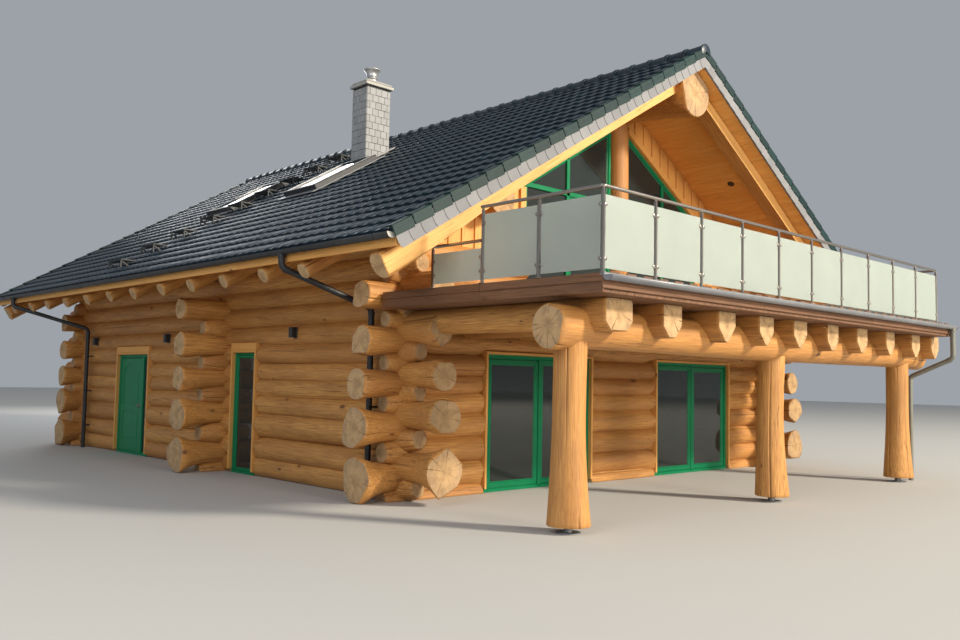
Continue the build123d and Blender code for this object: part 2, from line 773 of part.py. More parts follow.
fixed_frames = []
fixed_panes = []
gable_casings = []
for side in (-1, 1):
    bars = [((side * gable_mullion_offset, (glazing_low + gable_glazing_head) / 2),
             (gable_frame_face, gable_glazing_head - glazing_low)),
            ((side * (gable_glazing_inner + gable_glazing_half_width) / 2, gable_transom_height),
             (gable_glazing_half_width - gable_glazing_inner, gable_frame_face))]
    inside = glazing_outline(side, -gable_frame_face)
    with BuildPart() as gable_frame:
        add(along_roof(glazing_outline(side), front_y - frame_depth / 2, front_y + frame_depth / 2))
        add(along_roof(inside, front_y - frame_depth, front_y + frame_depth), mode=Mode.SUBTRACT)
    with BuildPart() as gable_bars:
        for (x, z), (wide, high) in bars:
            add(block((x - wide / 2, front_y - frame_depth / 2, z - high / 2),
                      (x + wide / 2, front_y + frame_depth / 2, z + high / 2)))
        add(along_roof(inside, front_y - frame_depth, front_y + frame_depth), mode=Mode.INTERSECT)
    with BuildPart() as whole_frame:
        add(gable_frame.part)
        add(gable_bars.part)
    fixed_frames.append(whole_frame.part)
    with BuildPart() as gable_pane:
        add(along_roof(inside, front_y - pane_thickness / 2, front_y + pane_thickness / 2))
        add(gable_bars.part, mode=Mode.SUBTRACT)
    fixed_panes.extend(gable_pane.part.solids())
    casing_line = [(side * gable_glazing_inner, gable_glazing_head + seat_gap),
                   (side * gable_glazing_half_width, glazing_edge_height + seat_gap),
                   (side * gable_glazing_half_width, glazing_edge_height + gable_casing_width * upright),
                   (side * gable_glazing_inner, gable_glazing_head + gable_casing_width * upright)]
    gable_casings.append(along_roof(casing_line, front_y - gable_casing_depth / 2,
                                    front_y + gable_casing_depth / 2))
save(gable_casings, "gable_casings")

# Boarded gables over the logs, cut for the glazing, the windows and the logs that pass through them
board_foot = short_heights[-1] + course_radius(short_heights, course_count - 1) + seat_gap
board_outline = [(-half_width, board_foot), (half_width, board_foot),
                 (half_width, deck_under_at_wall - seat_gap), (0, deck_under_at_ridge - seat_gap),
                 (-half_width, deck_under_at_wall - seat_gap)]
back_gable_window_sill = board_foot + back_gable_window_lift
casing_top = gable_casing_width * upright + seat_gap
glazing_cut = [(-gable_glazing_half_width - seat_gap, 0), (gable_glazing_half_width + seat_gap, 0),
               (gable_glazing_half_width + seat_gap, glazing_edge_height + casing_top),
               (gable_glazing_inner, gable_glazing_head + casing_top),
               (-gable_glazing_inner, gable_glazing_head + casing_top),
               (-gable_glazing_half_width - seat_gap, glazing_edge_height + casing_top)]
gable_window_xs = (-back_gable_window_offset, back_gable_window_offset)
for y, name in ((front_y, "front_gable_boards"), (back_y, "back_gable_boards")):
    low_y = y - gable_board_thickness / 2
    high_y = y + gable_board_thickness / 2
    with BuildPart() as boards:
        add(along_roof(board_outline, low_y, high_y))
        for carrier in [ridge_log, left_logs[-1], right_logs[-1]] + purlins:
            add(log_body(carrier, seat_gap), mode=Mode.SUBTRACT)
        if y == front_y:
            add(along_roof(glazing_cut, low_y - 1, high_y + 1), mode=Mode.SUBTRACT)
        else:
            cut_half = back_gable_window_width / 2 + seat_gap
            cut_top = back_gable_window_sill + back_gable_window_height + seat_gap
            for x in gable_window_xs:
                add(block((x - cut_half, low_y - 1, back_gable_window_sill - seat_gap),
                          (x + cut_half, high_y + 1, cut_top)), mode=Mode.SUBTRACT)
    save(boards.part.solids(), name)


def bar(along, across, start, end, low, high, depth):
    """A straight timber in a wall, between two places along it and two heights, centred in its depth."""
    if along == "x":
        return block((start, across - depth / 2, low), (end, across + depth / 2, high))
    return block((across - depth / 2, start, low), (across + depth / 2, end, high))


def frame_bars(along, across, start, end, low, high, sill):
    """Two jambs, a sill and a head of a door frame, standing close together."""
    inner = start + frame_face + seat_gap
    outer = end - frame_face - seat_gap
    return [bar(along, across, start, start + frame_face, low, high, frame_depth),
            bar(along, across, end - frame_face, end, low, high, frame_depth),
            bar(along, across, inner, outer, low, low + sill, frame_depth),
            bar(along, across, inner, outer, high - frame_face, high, frame_depth)]


def window(along, across, start, end, low, high, face, depth):
    """A rectangular frame and its pane, between two places along a wall."""
    inside = (along, across, start + face, end - face, low + face, high - face)
    with BuildPart() as frame:
        add(bar(along, across, start, end, low, high, depth))
        add(bar(*inside, 2 * depth), mode=Mode.SUBTRACT)
    return frame.part, bar(*inside, pane_thickness)


def lining(along, across, start, end, low, high, lintel=0):
    """Timber boards that line an opening: two jambs and a head, thicker where there is a lintel."""
    foot = low if low > 0 else ground_floor_thickness + seat_gap
    outer = lining_thickness + seat_gap
    depth = 2 * lining_reach
    head = high + lining_thickness + lintel
    return [bar(along, across, start - outer, start - seat_gap, foot, high, depth),
            bar(along, across, end + seat_gap, end + outer, foot, high, depth),
            bar(along, across, start - outer, end + outer, high + seat_gap, head, depth)]


def frame_line(across):
    """Middle of a frame's depth: a little outside the middle of its wall."""
    outward = -1 if across in (-half_width, front_y) else 1
    return across + outward * frame_offset


def hinge_barrels(x, y):
    """Three upright barrels on a leaf's hinge line, filling the gap to the jamb beside it."""
    barrels = []
    for height in hinge_barrel_heights:
        with BuildPart() as barrel:
            with Locations((x, y, height)):
                Cylinder(leaf_gap - seat_gap, hinge_barrel_length)
        barrels.append(barrel.part)
    return barrels


# Fixed windows: narrow ones in the long walls, two in the back wall, two in the back gable
window_places = [("y", -half_width, narrow_y, narrow_y + narrow_window_width, 0, opening_head)]
window_places += [("y", half_width, y, y + narrow_window_width, 0, opening_head) for y in right_window_starts]
window_places += [("x", back_y, x - back_window_width / 2, x + back_window_width / 2,
                   back_window_sill, opening_head) for x in back_window_centres]
linings = []
for along, across, start, end, low, high in window_places:
    frame, pane = window(along, frame_line(across), start, end, low, high, frame_face, frame_depth)
    fixed_frames.append(frame)
    fixed_panes.append(pane)
    linings.extend(lining(along, across, start, end, low, high, side_lintel_height if along == "y" else 0))
for x in gable_window_xs:
    frame, pane = window("x", back_y, x - back_gable_window_width / 2, x + back_gable_window_width / 2,
                         back_gable_window_sill, back_gable_window_sill + back_gable_window_height,
                         frame_face, frame_depth)
    fixed_frames.append(frame)
    fixed_panes.append(pane)

# Side door: a frame with a mullion, a narrow fixed pane and the leaf on its inner hinge line
side_line = frame_line(-half_width)
side_end = side_door_y + side_door_width
leaf_end = side_end - frame_face - leaf_gap
leaf_start = leaf_end - side_leaf_width
mullion_end = leaf_start - leaf_gap
mullion_start = mullion_end - door_mullion_width
leaf_low = frame_sill_height + leaf_gap
leaf_high = opening_head - frame_face - leaf_gap
door_bars = frame_bars("y", side_line, side_door_y, side_end, 0, opening_head, frame_sill_height)
door_bars.append(bar("y", side_line, mullion_start, mullion_end, frame_sill_height + seat_gap,
                     opening_head - frame_face - seat_gap, frame_depth))
save(door_bars, "side_door_frame")
fixed_panes.append(bar("y", side_line, side_door_y + frame_face + seat_gap, mullion_start - seat_gap,
                       frame_sill_height + seat_gap, opening_head - frame_face - seat_gap, pane_thickness))
linings.extend(lining("y", -half_width, side_door_y, side_end, 0, opening_head, side_lintel_height))
with BuildPart() as side_leaf:
    add(bar("y", side_line, leaf_start, leaf_end, leaf_low, leaf_high, leaf_thickness))
    add(hinge_barrels(side_line + leaf_thickness / 2, leaf_end))
save(side_leaf.part, "side_door_leaf")
with BuildPart() as side_door_knobs:
    for outward in (-1, 1):
        knob_seat = side_line + outward * (leaf_thickness / 2 + seat_gap)
        face = Plane(origin=(knob_seat, leaf_start + knob_inset, knob_height), z_dir=(outward, 0, 0))
        with BuildSketch(face):
            Circle(knob_stem_radius)
        extrude(amount=knob_stem_length)
        with Locations(face.offset(knob_stem_length)):
            Sphere(knob_radius)
save(side_door_knobs.part.solids(), "side_door_knobs")

# Terrace doors: one fixed and one opening leaf each, hinged at the outer jamb
terrace_line = frame_line(front_y)
terrace_frames = []
for centre, side, name in ((terrace_door_left_centre, -1, "left"), (terrace_door_right_centre, 1, "right")):
    start = centre - terrace_door_width / 2
    end = centre + terrace_door_width / 2
    inner = centre - side * door_mullion_width / 2
    fixed_edge = centre - side * (terrace_door_width / 2 - frame_face)
    bottom = frame_sill_height + seat_gap
    top = opening_head - frame_face - seat_gap
    terrace_frames.extend(frame_bars("x", terrace_line, start, end, 0, opening_head, frame_sill_height))
    terrace_frames.append(bar("x", terrace_line, centre - door_mullion_width / 2,
                              centre + door_mullion_width / 2, bottom, top, frame_depth))
    fixed_panes.append(bar("x", terrace_line, min(inner, fixed_edge) + seat_gap,
                           max(inner, fixed_edge) - seat_gap, bottom, top, pane_thickness))
    linings.extend(lining("x", front_y, start, end, 0, opening_head))
    hinge_edge = centre + side * (terrace_door_width / 2 - frame_face - leaf_gap)
    meeting_edge = centre + side * (door_mullion_width / 2 + leaf_gap)
    leaf, leaf_pane = window("x", terrace_line, min(hinge_edge, meeting_edge), max(hinge_edge, meeting_edge),
                             leaf_low, leaf_high, leaf_frame_face, leaf_thickness)
    with BuildPart() as hung_leaf:
        add(leaf)
        add(hinge_barrels(hinge_edge, terrace_line + leaf_thickness / 2))
    save(hung_leaf.part, f"terrace_door_{name}_leaf")
    save(leaf_pane, f"terrace_door_{name}_glass")
save(terrace_frames, "terrace_door_frames")
save(fixed_frames, "window_frames")
save(fixed_panes, "window_glass")
save(linings, "opening_linings")

# Balcony beam on three flared posts, each on a steel shoe: two round plates and a stem
beam_y = front_y - beam_offset
beam = ["x", beam_y, beam_height, -half_width - beam_left_end, beam_right_end - half_width,
        beam_radius, beam_radius, beam_radius]
save(log_body(beam), "balcony_beam")
balcony_posts = []
post_shoes = []
post_low = post_shoe_height + seat_gap
for x in (post_first, post_middle, post_last):
    with BuildPart() as post:
        with BuildSketch(Plane.XZ.offset(-beam_y)):
            with BuildLine():
                Line((0, post_low), (post_foot_radius, post_low))
                Spline((post_foot_radius, post_low), (post_radius, post_foot_rise),
                       tangents=((-post_foot_lean, 1), (0, 1)))
                Line((post_radius, post_foot_rise), (post_radius, beam_height))
                Line((post_radius, beam_height), (0, beam_height))
                Line((0, beam_height), (0, post_low))
            make_face()
        revolve(axis=Axis((0, beam_y, 0), (0, 0, 1)))
    with BuildPart() as standing:
        add(post.part.moved(Location((x - half_width, 0, 0))))
        add(log_body(beam, seat_gap), mode=Mode.SUBTRACT)
    balcony_posts.append(standing.part.solids().sort_by(SortBy.VOLUME)[-1])
    with BuildPart() as shoe:
        with Locations((x - half_width, beam_y, 0)):
            Cylinder(post_shoe_radius, post_shoe_plate, align=(Align.CENTER, Align.CENTER, Align.MIN))
            Cylinder(post_shoe_stem, post_shoe_height, align=(Align.CENTER, Align.CENTER, Align.MIN))
        with Locations((x - half_width, beam_y, post_shoe_height)):
            Cylinder(post_shoe_radius, post_shoe_plate, align=(Align.CENTER, Align.CENTER, Align.MAX))
    post_shoes.append(shoe.part)
save(balcony_posts, "balcony_posts")
save(post_shoes, "post_shoes")

# Balcony joists: hewn flat on top and at the sides, with swelling butts keeled below in front, notched
# over the beam and let into the front wall
joists = []
for x in joist_xs:
    outer = x in (joist_xs[0], joist_xs[-1])
    joist_end = front_y - (course_radius(short_heights, 8) / 2 if outer else joist_tenon)
    joist = ["y", x, joist_height, front_y - joist_reach, joist_end,
             joist_radius, joist_butt, joist_radius]
    corner = (left_logs if x < 0 else right_logs) if outer else []
    section = [(x - joist_face, joist_top), (x - joist_face, joist_shoulder), (x, joist_keel),
               (x + joist_face, joist_shoulder), (x + joist_face, joist_top)]
    with BuildPart() as shaped:
        add(log_body(joist))
        add(prism(Plane.XZ.offset(-overall_length), section, 2 * overall_length), mode=Mode.INTERSECT)
        add(log_body(beam, seat_gap), mode=Mode.SUBTRACT)
        for log in front_logs[7:9] if outer else front_logs[7:8]:
            add(log_body(log, scribe_gap), mode=Mode.SUBTRACT)
        for log in corner[6:9]:
            add(log_body(log, scribe_gap), mode=Mode.SUBTRACT)
    joists.append(shaped.part.solids().sort_by(SortBy.VOLUME)[-1])
save(joists, "balcony_joists")

# Deck: the sealed slab on the joists, boards at its open ends and the plank nose in front
deck_solids = [block((deck_left + fascia_thickness, deck_front + fascia_thickness, slab_low),
                     (deck_right - fascia_thickness, deck_back, slab_high - seat_gap)),
               block((deck_left + fascia_thickness, deck_front, slab_high),
                     (deck_right - fascia_thickness, deck_back, deck_top_height)),
               block((deck_left, deck_front + fascia_thickness, slab_low),
                     (deck_left + fascia_thickness - seat_gap, deck_back, deck_top_height)),
               block((deck_right - fascia_thickness + seat_gap, deck_front + fascia_thickness, slab_low),
                     (deck_right, deck_back, deck_top_height))]
save(deck_solids, "balcony_deck")

# Gutter along the balcony front
balcony_gutter_y = deck_front - balcony_gutter_radius - seat_gap
with BuildPart() as balcony_gutter:
    with BuildSketch(Plane(origin=(deck_left, 0, 0), x_dir=(0, 1, 0), z_dir=(1, 0, 0))):
        with Locations((balcony_gutter_y, slab_high)):
            Circle(balcony_gutter_radius)
            Rectangle(2 * balcony_gutter_radius, balcony_gutter_radius, align=(Align.CENTER, Align.MIN),
                      mode=Mode.SUBTRACT)
    extrude(amount=deck_right - deck_left)
    with BuildSketch(Plane(origin=(deck_left + gutter_wall, 0, 0), x_dir=(0, 1, 0), z_dir=(1, 0, 0))):
        with Locations((balcony_gutter_y, slab_high)):
            Circle(balcony_gutter_radius - gutter_wall)
    extrude(amount=deck_right - deck_left - 2 * gutter_wall, mode=Mode.SUBTRACT)
save(balcony_gutter.part, "balcony_gutter")
balcony_pipe_x = deck_right - balcony_pipe_inset
balcony_pipe_route = [(balcony_pipe_x, balcony_gutter_y, slab_high - balcony_gutter_radius - seat_gap),
                      (balcony_pipe_x, balcony_gutter_y, balcony_pipe_bend_high),
                      (balcony_pipe_x, beam_y - balcony_pipe_reach, balcony_pipe_bend_low),
                      (balcony_pipe_x, beam_y - balcony_pipe_reach, 0)]
with BuildPart() as balcony_pipe:
    with BuildLine() as route:
        FilletPolyline(*balcony_pipe_route, radius=pipe_bend_radius)
    with BuildSketch(Plane(origin=balcony_pipe_route[0], z_dir=(0, 0, -1))):
        Circle(downpipe_radius)
    sweep(path=route.wire())
save(balcony_pipe.part, "balcony_downpipe")

# Railing: round posts on foot plates, a handrail and frosted panes between the posts
rail_x = rail_left - half_width
rail_y = front_y - rail_front
rail_top = deck_top_height + rail_height
rail_right = rail_x + rail_panel_count * rail_panel
post_foot_z = deck_top_height + seat_gap
post_places = [(rail_x + i * rail_panel, rail_y, rail_top) for i in range(rail_panel_count + 1)]
for x in (rail_x, rail_right):
    for i in range(1, rail_side_count + 1):
        post_places.append((x, rail_y + i * rail_side_panel, rail_top))
    post_places.append((x, rail_y + (rail_side_count + 1) * rail_side_panel, rail_top - rail_low_drop))
side_reach = rail_y + rail_side_count * rail_side_panel
low_reach = side_reach + rail_side_panel
rail_solids = []
for x, y, top in post_places:
    length = top - post_foot_z - handrail_radius - seat_gap
    with BuildPart() as rail_post:
        with BuildSketch(Plane.XZ):
            with BuildLine():
                Polyline((0, 0), (2 * rail_post_radius, 0), (2 * rail_post_radius, rail_plate),
                         (rail_post_radius, rail_plate), (rail_post_radius, length), (0, length), close=True)
            make_face()
        revolve(axis=Axis.Z)
    rail_solids.append(rail_post.part.moved(Location((x, y, post_foot_z))))


def rail(start, end):
    """A straight round handrail between two points."""
    length = Vector(*end) - Vector(*start)
    with BuildPart() as bar:
        with BuildSketch(Plane(origin=start, z_dir=length)):
            Circle(handrail_radius)
        extrude(amount=length.length)
    return bar.part


rail_solids.append(rail((rail_x - handrail_radius, rail_y, rail_top),
                        (rail_right + handrail_radius, rail_y, rail_top)))
butt = handrail_radius + seat_gap
for x in (rail_x, rail_right):
    rail_solids.append(rail((x, rail_y + butt, rail_top), (x, side_reach + rail_post_radius, rail_top)))
    rail_solids.append(rail((x, side_reach + butt, rail_top - rail_low_drop),
                            (x, low_reach + rail_post_radius, rail_top - rail_low_drop)))
save(rail_solids, "railing_frame")

glass = []
edge = rail_post_radius + rail_glass_gap
glass_low = deck_top_height + rail_glass_lift
for i in range(rail_panel_count):
    x = rail_x + i * rail_panel
    glass.append(block((x + edge, rail_y - rail_glass_thickness / 2, glass_low),
                       (x + rail_panel - edge, rail_y + rail_glass_thickness / 2, rail_top - rail_glass_drop)))
for x in (rail_x, rail_right):
    for i in range(rail_side_count + 1):
        y = rail_y + i * rail_side_panel
        top = rail_top - rail_glass_drop - (rail_low_drop if i == rail_side_count else 0)
        glass.append(block((x - rail_glass_thickness / 2, y + edge, glass_low),
                           (x + rail_glass_thickness / 2, y + rail_side_panel - edge, top)))
save(glass, "railing_glass")

# Clamps that hold the panes, two at each side
clamps = []
clamp_offset = edge - rail_post_radius - seat_gap - clamp_length / 2
for pane in glass:
    box = pane.bounding_box()
    for z in (glass_low + clamp_inset, box.max.Z - clamp_inset):
        along_x = box.size.X > box.size.Y
        for sign in (-1, 1):
            if along_x:
                x = (box.min.X if sign < 0 else box.max.X) + sign * clamp_offset
                low = (x - clamp_length / 2, rail_y - clamp_depth / 2, z - clamp_height / 2)
                high = (x + clamp_length / 2, rail_y + clamp_depth / 2, z + clamp_height / 2)
            else:
                y = (box.min.Y if sign < 0 else box.max.Y) + sign * clamp_offset
                x = box.center().X
                low = (x - clamp_depth / 2, y - clamp_length / 2, z - clamp_height / 2)
                high = (x + clamp_depth / 2, y + clamp_length / 2, z + clamp_height / 2)
            with BuildPart() as clamp:
                add(block(low, high))
                add(pane, mode=Mode.SUBTRACT)
            clamps.append(clamp.part)
save(clamps, "railing_clamps")

# Chimney stack from the ground, its cap and the flue with its cowl
chimney_high = (chimney_x + chimney_width, chimney_y + chimney_depth, chimney_top)
save(block((chimney_x, chimney_y, 0), chimney_high), "chimney")
with BuildPart() as chimney_cap:
    add(block((chimney_x - chimney_cap_overhang, chimney_y - chimney_cap_overhang, chimney_top + seat_gap),
              (chimney_high[0] + chimney_cap_overhang, chimney_high[1] + chimney_cap_overhang,
               chimney_top + seat_gap + chimney_cap_height)))
    chamfer(chimney_cap.edges().group_by(Axis.Z)[-1], length=chimney_cap_height / 4)
save(chimney_cap.part, "chimney_cap")
flue_base = chimney_top + chimney_cap_height + 2 * seat_gap
flue_top = flue_base + flue_height
cowl_top = flue_top + cowl_height
with BuildPart() as flue:
    with BuildSketch(Plane.XZ):
        with BuildLine():
            Polyline((0, flue_base), (flue_radius, flue_base), (flue_radius, flue_top), (cowl_radius, flue_top),
                     (cowl_radius, flue_top + cowl_height / 2), (flue_radius, cowl_top), (0, cowl_top), close=True)
        make_face()
    revolve(axis=Axis.Z)
flue_place = Location((chimney_x + chimney_width / 2, chimney_y + chimney_depth / 2, 0))
save(flue.part.moved(flue_place), "flue_cowl")

# Skylights: frames let into the tile layer, and their panes
with BuildPart() as skylight_frames:
    add(skylight_blocks(0, seat_gap, tile_thickness + skylight_rise))
    add(skylight_blocks(-skylight_border, -1, tile_thickness + skylight_rise + 1), mode=Mode.SUBTRACT)
save(skylight_frames.part.solids(), "skylight_frames")
pane_lift = tile_thickness + skylight_rise - 2 * pane_thickness
save(skylight_blocks(-skylight_border, pane_lift, pane_lift + pane_thickness).solids(), "skylight_glass")

# Roof steps for the sweep: level gratings that meet the tiles at the back, on two struts in front
steps = []
step_surface = slope_plane(tile_thickness + seat_gap)
for i in range(step_count):
    foot = step_surface.from_local_coords((step_first_up + i * step_spacing, step_offset, 0))
    front = foot.X - step_depth
    low = foot.Z
    with BuildPart() as step:
        for x in (front, front + (step_depth - step_bar) / 2, foot.X - step_bar):
            add(block((x, foot.Y - step_width / 2, low),
                      (x + step_bar, foot.Y + step_width / 2, low + step_bar)))
        for y in (foot.Y - step_width / 2, foot.Y + step_width / 2 - step_bar):
            add(block((front, y, low), (foot.X, y + step_bar, low + step_bar)))
            add(along_roof([(front, low + step_bar / 2), (front, low - step_depth * slope),
                            (front + step_bar, low - (step_depth - step_bar) * slope),
                            (front + step_bar, low + step_bar / 2)], y, y + step_bar))
    steps.extend(step.part.solids())
save(steps, "roof_steps")

# Wall lamps
lamps = []
lamp_half = lamp_size / 2
lamp_x = -half_width - wall_reach(long_heights, lamp_foot, lamp_foot + lamp_height) - seat_gap
for y in lamp_places:
    lamps.append(block((lamp_x - lamp_depth, front_y + y - lamp_half, lamp_foot),
                       (lamp_x, front_y + y + lamp_half, lamp_foot + lamp_height)))
lamp_y = front_y - wall_reach(short_heights, front_lamp_foot, front_lamp_foot + lamp_height) - seat_gap
lamps.append(block((front_lamp_place - half_width - lamp_half, lamp_y - lamp_depth, front_lamp_foot),
                   (front_lamp_place - half_width + lamp_half, lamp_y, front_lamp_foot + lamp_height)))
save(lamps, "wall_lamps")
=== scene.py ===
import math

import bpy
import numpy as np
from mathutils import Matrix

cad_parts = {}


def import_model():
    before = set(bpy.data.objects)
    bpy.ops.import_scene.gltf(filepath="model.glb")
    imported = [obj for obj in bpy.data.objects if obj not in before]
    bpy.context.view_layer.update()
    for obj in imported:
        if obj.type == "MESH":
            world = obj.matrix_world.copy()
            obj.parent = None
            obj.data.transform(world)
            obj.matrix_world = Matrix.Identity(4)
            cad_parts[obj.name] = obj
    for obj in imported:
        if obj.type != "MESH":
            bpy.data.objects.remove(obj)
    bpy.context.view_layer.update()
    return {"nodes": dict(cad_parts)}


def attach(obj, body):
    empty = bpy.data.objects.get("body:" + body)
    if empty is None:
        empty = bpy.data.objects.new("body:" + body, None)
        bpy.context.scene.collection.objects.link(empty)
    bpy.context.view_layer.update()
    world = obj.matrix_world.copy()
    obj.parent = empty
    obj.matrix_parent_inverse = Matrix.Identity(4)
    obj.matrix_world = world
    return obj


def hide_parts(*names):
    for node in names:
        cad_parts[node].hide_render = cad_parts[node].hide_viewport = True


# Round log house under soft studio light. Metres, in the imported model's frame: X runs along the
# front gable, Y from the balcony to the back, Z is up. Sizes repeat those of the construction.
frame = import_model()
rng = np.random.default_rng(41)

# Walls: the outer log axes, the rises of the long walls' courses and the scribed overlap of two logs
HALF = 4.95
FRONT = -4.6675
CROSS = FRONT + 5.11
BACK = FRONT + 12.16
LONG_Z = np.cumsum([0.170, 0.310, 0.400, 0.340, 0.310, 0.260, 0.330, 0.300, 0.330, 0.320, 0.320, 0.370])
SHORT_Z = np.concatenate([[0.0], (LONG_Z[:-1] + LONG_Z[1:]) / 2])
OVERLAP = 0.07
SEAT = 0.0003

# Roof: heights are taken over the outer log axes
ROOF_ANGLE = math.radians(30.8)
SLOPE, COS, SIN = math.tan(ROOF_ANGLE), math.cos(ROOF_ANGLE), math.sin(ROOF_ANGLE)
UP = 1 / COS
RAFTER_RADIUS, RAFTER_FLAT = 0.115, 0.103
DECK_THICK, TILE_THICK = 0.223, 0.06
RAFTER_AXIS = 4.0 - 0.025 + RAFTER_RADIUS * UP
DECK_UNDER = RAFTER_AXIS + RAFTER_FLAT * UP
DECK_OVER = DECK_UNDER + DECK_THICK * UP
TILE_OVER = DECK_OVER + TILE_THICK * UP
EAVE = HALF + 1.70
VERGE_FRONT = FRONT - 1.85
VERGE_BACK = BACK + 1.39
RIDGE_LOG_Z = DECK_UNDER + HALF * SLOPE - 0.42


def at(height_at_wall, x):
    """Height of a plane parallel to the roof slope over the place x."""
    return height_at_wall + (HALF - np.abs(x)) * SLOPE


# ---- arrays of points and faces


class Shape:
    """Gathers the arrays of one piece: points, faces, material numbers, wood coordinates and tone."""

    def __init__(self):
        self.points, self.faces, self.mats, self.smooth, self.grain, self.tone = [], [], [], [], [], []
        self.count = 0

    def add(self, points, faces, mat=0, smooth=True, grain=None, tone=0.5):
        """Adds points (n, 3) and a list of face arrays (k, 3) or (k, 4) that index them."""
        points = np.asarray(points, float).reshape(-1, 3)
        for block in faces if isinstance(faces, list) else [faces]:
            block = np.asarray(block, int)
            self.faces.append(block + self.count)
            self.mats.append(np.full(len(block), mat))
            self.smooth.append(np.full(len(block), smooth))
        self.points.append(points)
        self.grain.append(points if grain is None else np.asarray(grain, float).reshape(-1, 3))
        self.tone.append(np.broadcast_to(np.asarray(tone, float), (len(points),)).copy())
        self.count += len(points)

    def build(self, name, materials, body="root", replaces=(), slot=None):
        """Makes the mesh object, rides it on its body and lets it stand for CAD nodes."""
        points = np.concatenate(self.points)
        points[:, 2] = np.maximum(points[:, 2], 0)
        mesh = bpy.data.meshes.new(name)
        mesh.from_pydata(points.tolist(), [], [row for block in self.faces for row in block.tolist()])
        for material in materials if isinstance(materials, list) else [materials]:
            mesh.materials.append(material)
        mesh.polygons.foreach_set("material_index", np.concatenate(self.mats).astype(np.int32))
        mesh.polygons.foreach_set("use_smooth", np.concatenate(self.smooth).astype(bool))
        layer = mesh.attributes.new("grain", "FLOAT_VECTOR", "POINT")
        layer.data.foreach_set("vector", np.concatenate(self.grain).astype(np.float32).ravel())
        layer = mesh.attributes.new("tone", "FLOAT", "POINT")
        layer.data.foreach_set("value", np.concatenate(self.tone).astype(np.float32))
        mesh.update()
        obj = bpy.data.objects.new(name, mesh)
        bpy.context.scene.collection.objects.link(obj)
        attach(obj, body)
        if replaces:
            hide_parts(*replaces)
        return obj


def grid_faces(rows, columns, closed=False):
    """Quads of a grid of points, rows by columns, joined round in the columns if closed."""
    r = np.arange(rows - 1)[:, None]
    c = np.arange(columns if closed else columns - 1)[None, :]
    n = (c + 1) % columns
    quads = [r * columns + c, r * columns + n, (r + 1) * columns + n, (r + 1) * columns + c]
    return np.stack(quads, -1).reshape(-1, 4)


def turned(faces, flip):
    """The faces as they are, or turned over where flip is true."""
    return faces[:, ::-1] if flip else faces


def fan_faces(hub, first, last):
    """Triangles from a hub point to the chain of points from first to last."""
    k = np.arange(first, last)
    return np.stack([np.full(len(k), hub), k, k + 1], -1)


def circle(segments):
    return np.linspace(0, 2 * math.pi, segments, endpoint=False)


def unit(v):
    """The vector, or each row of vectors, at length one."""
    return v / np.linalg.norm(v, axis=-1, keepdims=True)


CORNERS = np.array([(x, y, z) for x in (0, 1) for y in (0, 1) for z in (0, 1)])


def box_template():
    """Point and face pattern of a box with chamfered edges: three points at each corner."""
    def at_corner(corner, axis):
        return 3 * (4 * corner[0] + 2 * corner[1] + corner[2]) + axis
    quads, tris = [], []
    for axis in range(3):
        b, c = (axis + 1) % 3, (axis + 2) % 3
        for side in (0, 1):
            ring = []
            for vb, vc in ((0, 0), (1, 0), (1, 1), (0, 1)):
                corner = [0, 0, 0]
                corner[axis], corner[b], corner[c] = side, vb, vc
                ring.append(at_corner(corner, axis))
            quads.append(ring if side else ring[::-1])
        for vb in (0, 1):
            for vc in (0, 1):
                low, high = [0, 0, 0], [0, 0, 0]
                low[b] = high[b] = vb
                low[c] = high[c] = vc
                high[axis] = 1
                ring = [at_corner(low, b), at_corner(high, b), at_corner(high, c), at_corner(low, c)]
                quads.append(ring if vb != vc else ring[::-1])
    for corner in CORNERS:
        ring = [at_corner(corner, axis) for axis in range(3)]
        tris.append(ring if corner.sum() % 2 else ring[::-1])
    return np.array(quads), np.array(tris)


BOX_QUADS, BOX_TRIS = box_template()
BOX_POINTS = 24


def boxes(shape, xs, ys, zs, chamfer=0.004, matrix=None, mat=0, tone=None, grain_axis=None):
    """Adds a chamfered box, or a row of them, between two places on each axis, given in any order.

    Each corner c of a box gives three points, c moved inwards by the chamfer along the two axes
    other than a, for a = x, y, z. A 4 by 4 matrix places the boxes.
    """
    ends = [np.atleast_2d(np.stack(np.broadcast_arrays(xs[k], ys[k], zs[k]), -1)) for k in (0, 1)]
    low, high = np.minimum(*ends).astype(float), np.maximum(*ends)
    count, size = len(low), high - low
    corner = low[:, None, :] + size[:, None, :] * CORNERS[None]
    inward = np.where(CORNERS[None] > 0, -1.0, 1.0) * np.minimum(chamfer, size[:, None, :] * 0.4)
    points = np.repeat(corner[:, :, None, :], 3, axis=2)
    for axis in range(3):
        for other in range(3):
            if other != axis:
                points[:, :, axis, other] += inward[:, :, other]
    points = points.reshape(count, BOX_POINTS, 3)
    if grain_axis is None:
        order = np.argsort(-size, axis=1)
    else:
        order = np.tile([grain_axis, (grain_axis + 1) % 3, (grain_axis + 2) % 3], (count, 1))
    grain = np.take_along_axis(points, np.repeat(order[:, None, :], BOX_POINTS, 1), 2)
    grain = grain + rng.uniform(0.2, 0.9, (count, 1, 3)) * [9, 0.35, 0.35]
    inside_out = False
    if matrix is not None:
        points = points @ matrix[:3, :3].T + matrix[:3, 3]
        inside_out = np.linalg.det(matrix[:3, :3]) < 0
    base = (np.arange(count) * BOX_POINTS)[:, None, None]
    faces = [(base + turned(BOX_QUADS, inside_out)).reshape(-1, 4),
             (base + turned(BOX_TRIS, inside_out)).reshape(-1, 3)]
    tone = rng.uniform(0, 1, count) if tone is None else np.broadcast_to(tone, (count,))
    shape.add(points, faces, mat, False, grain, np.repeat(tone, BOX_POINTS))


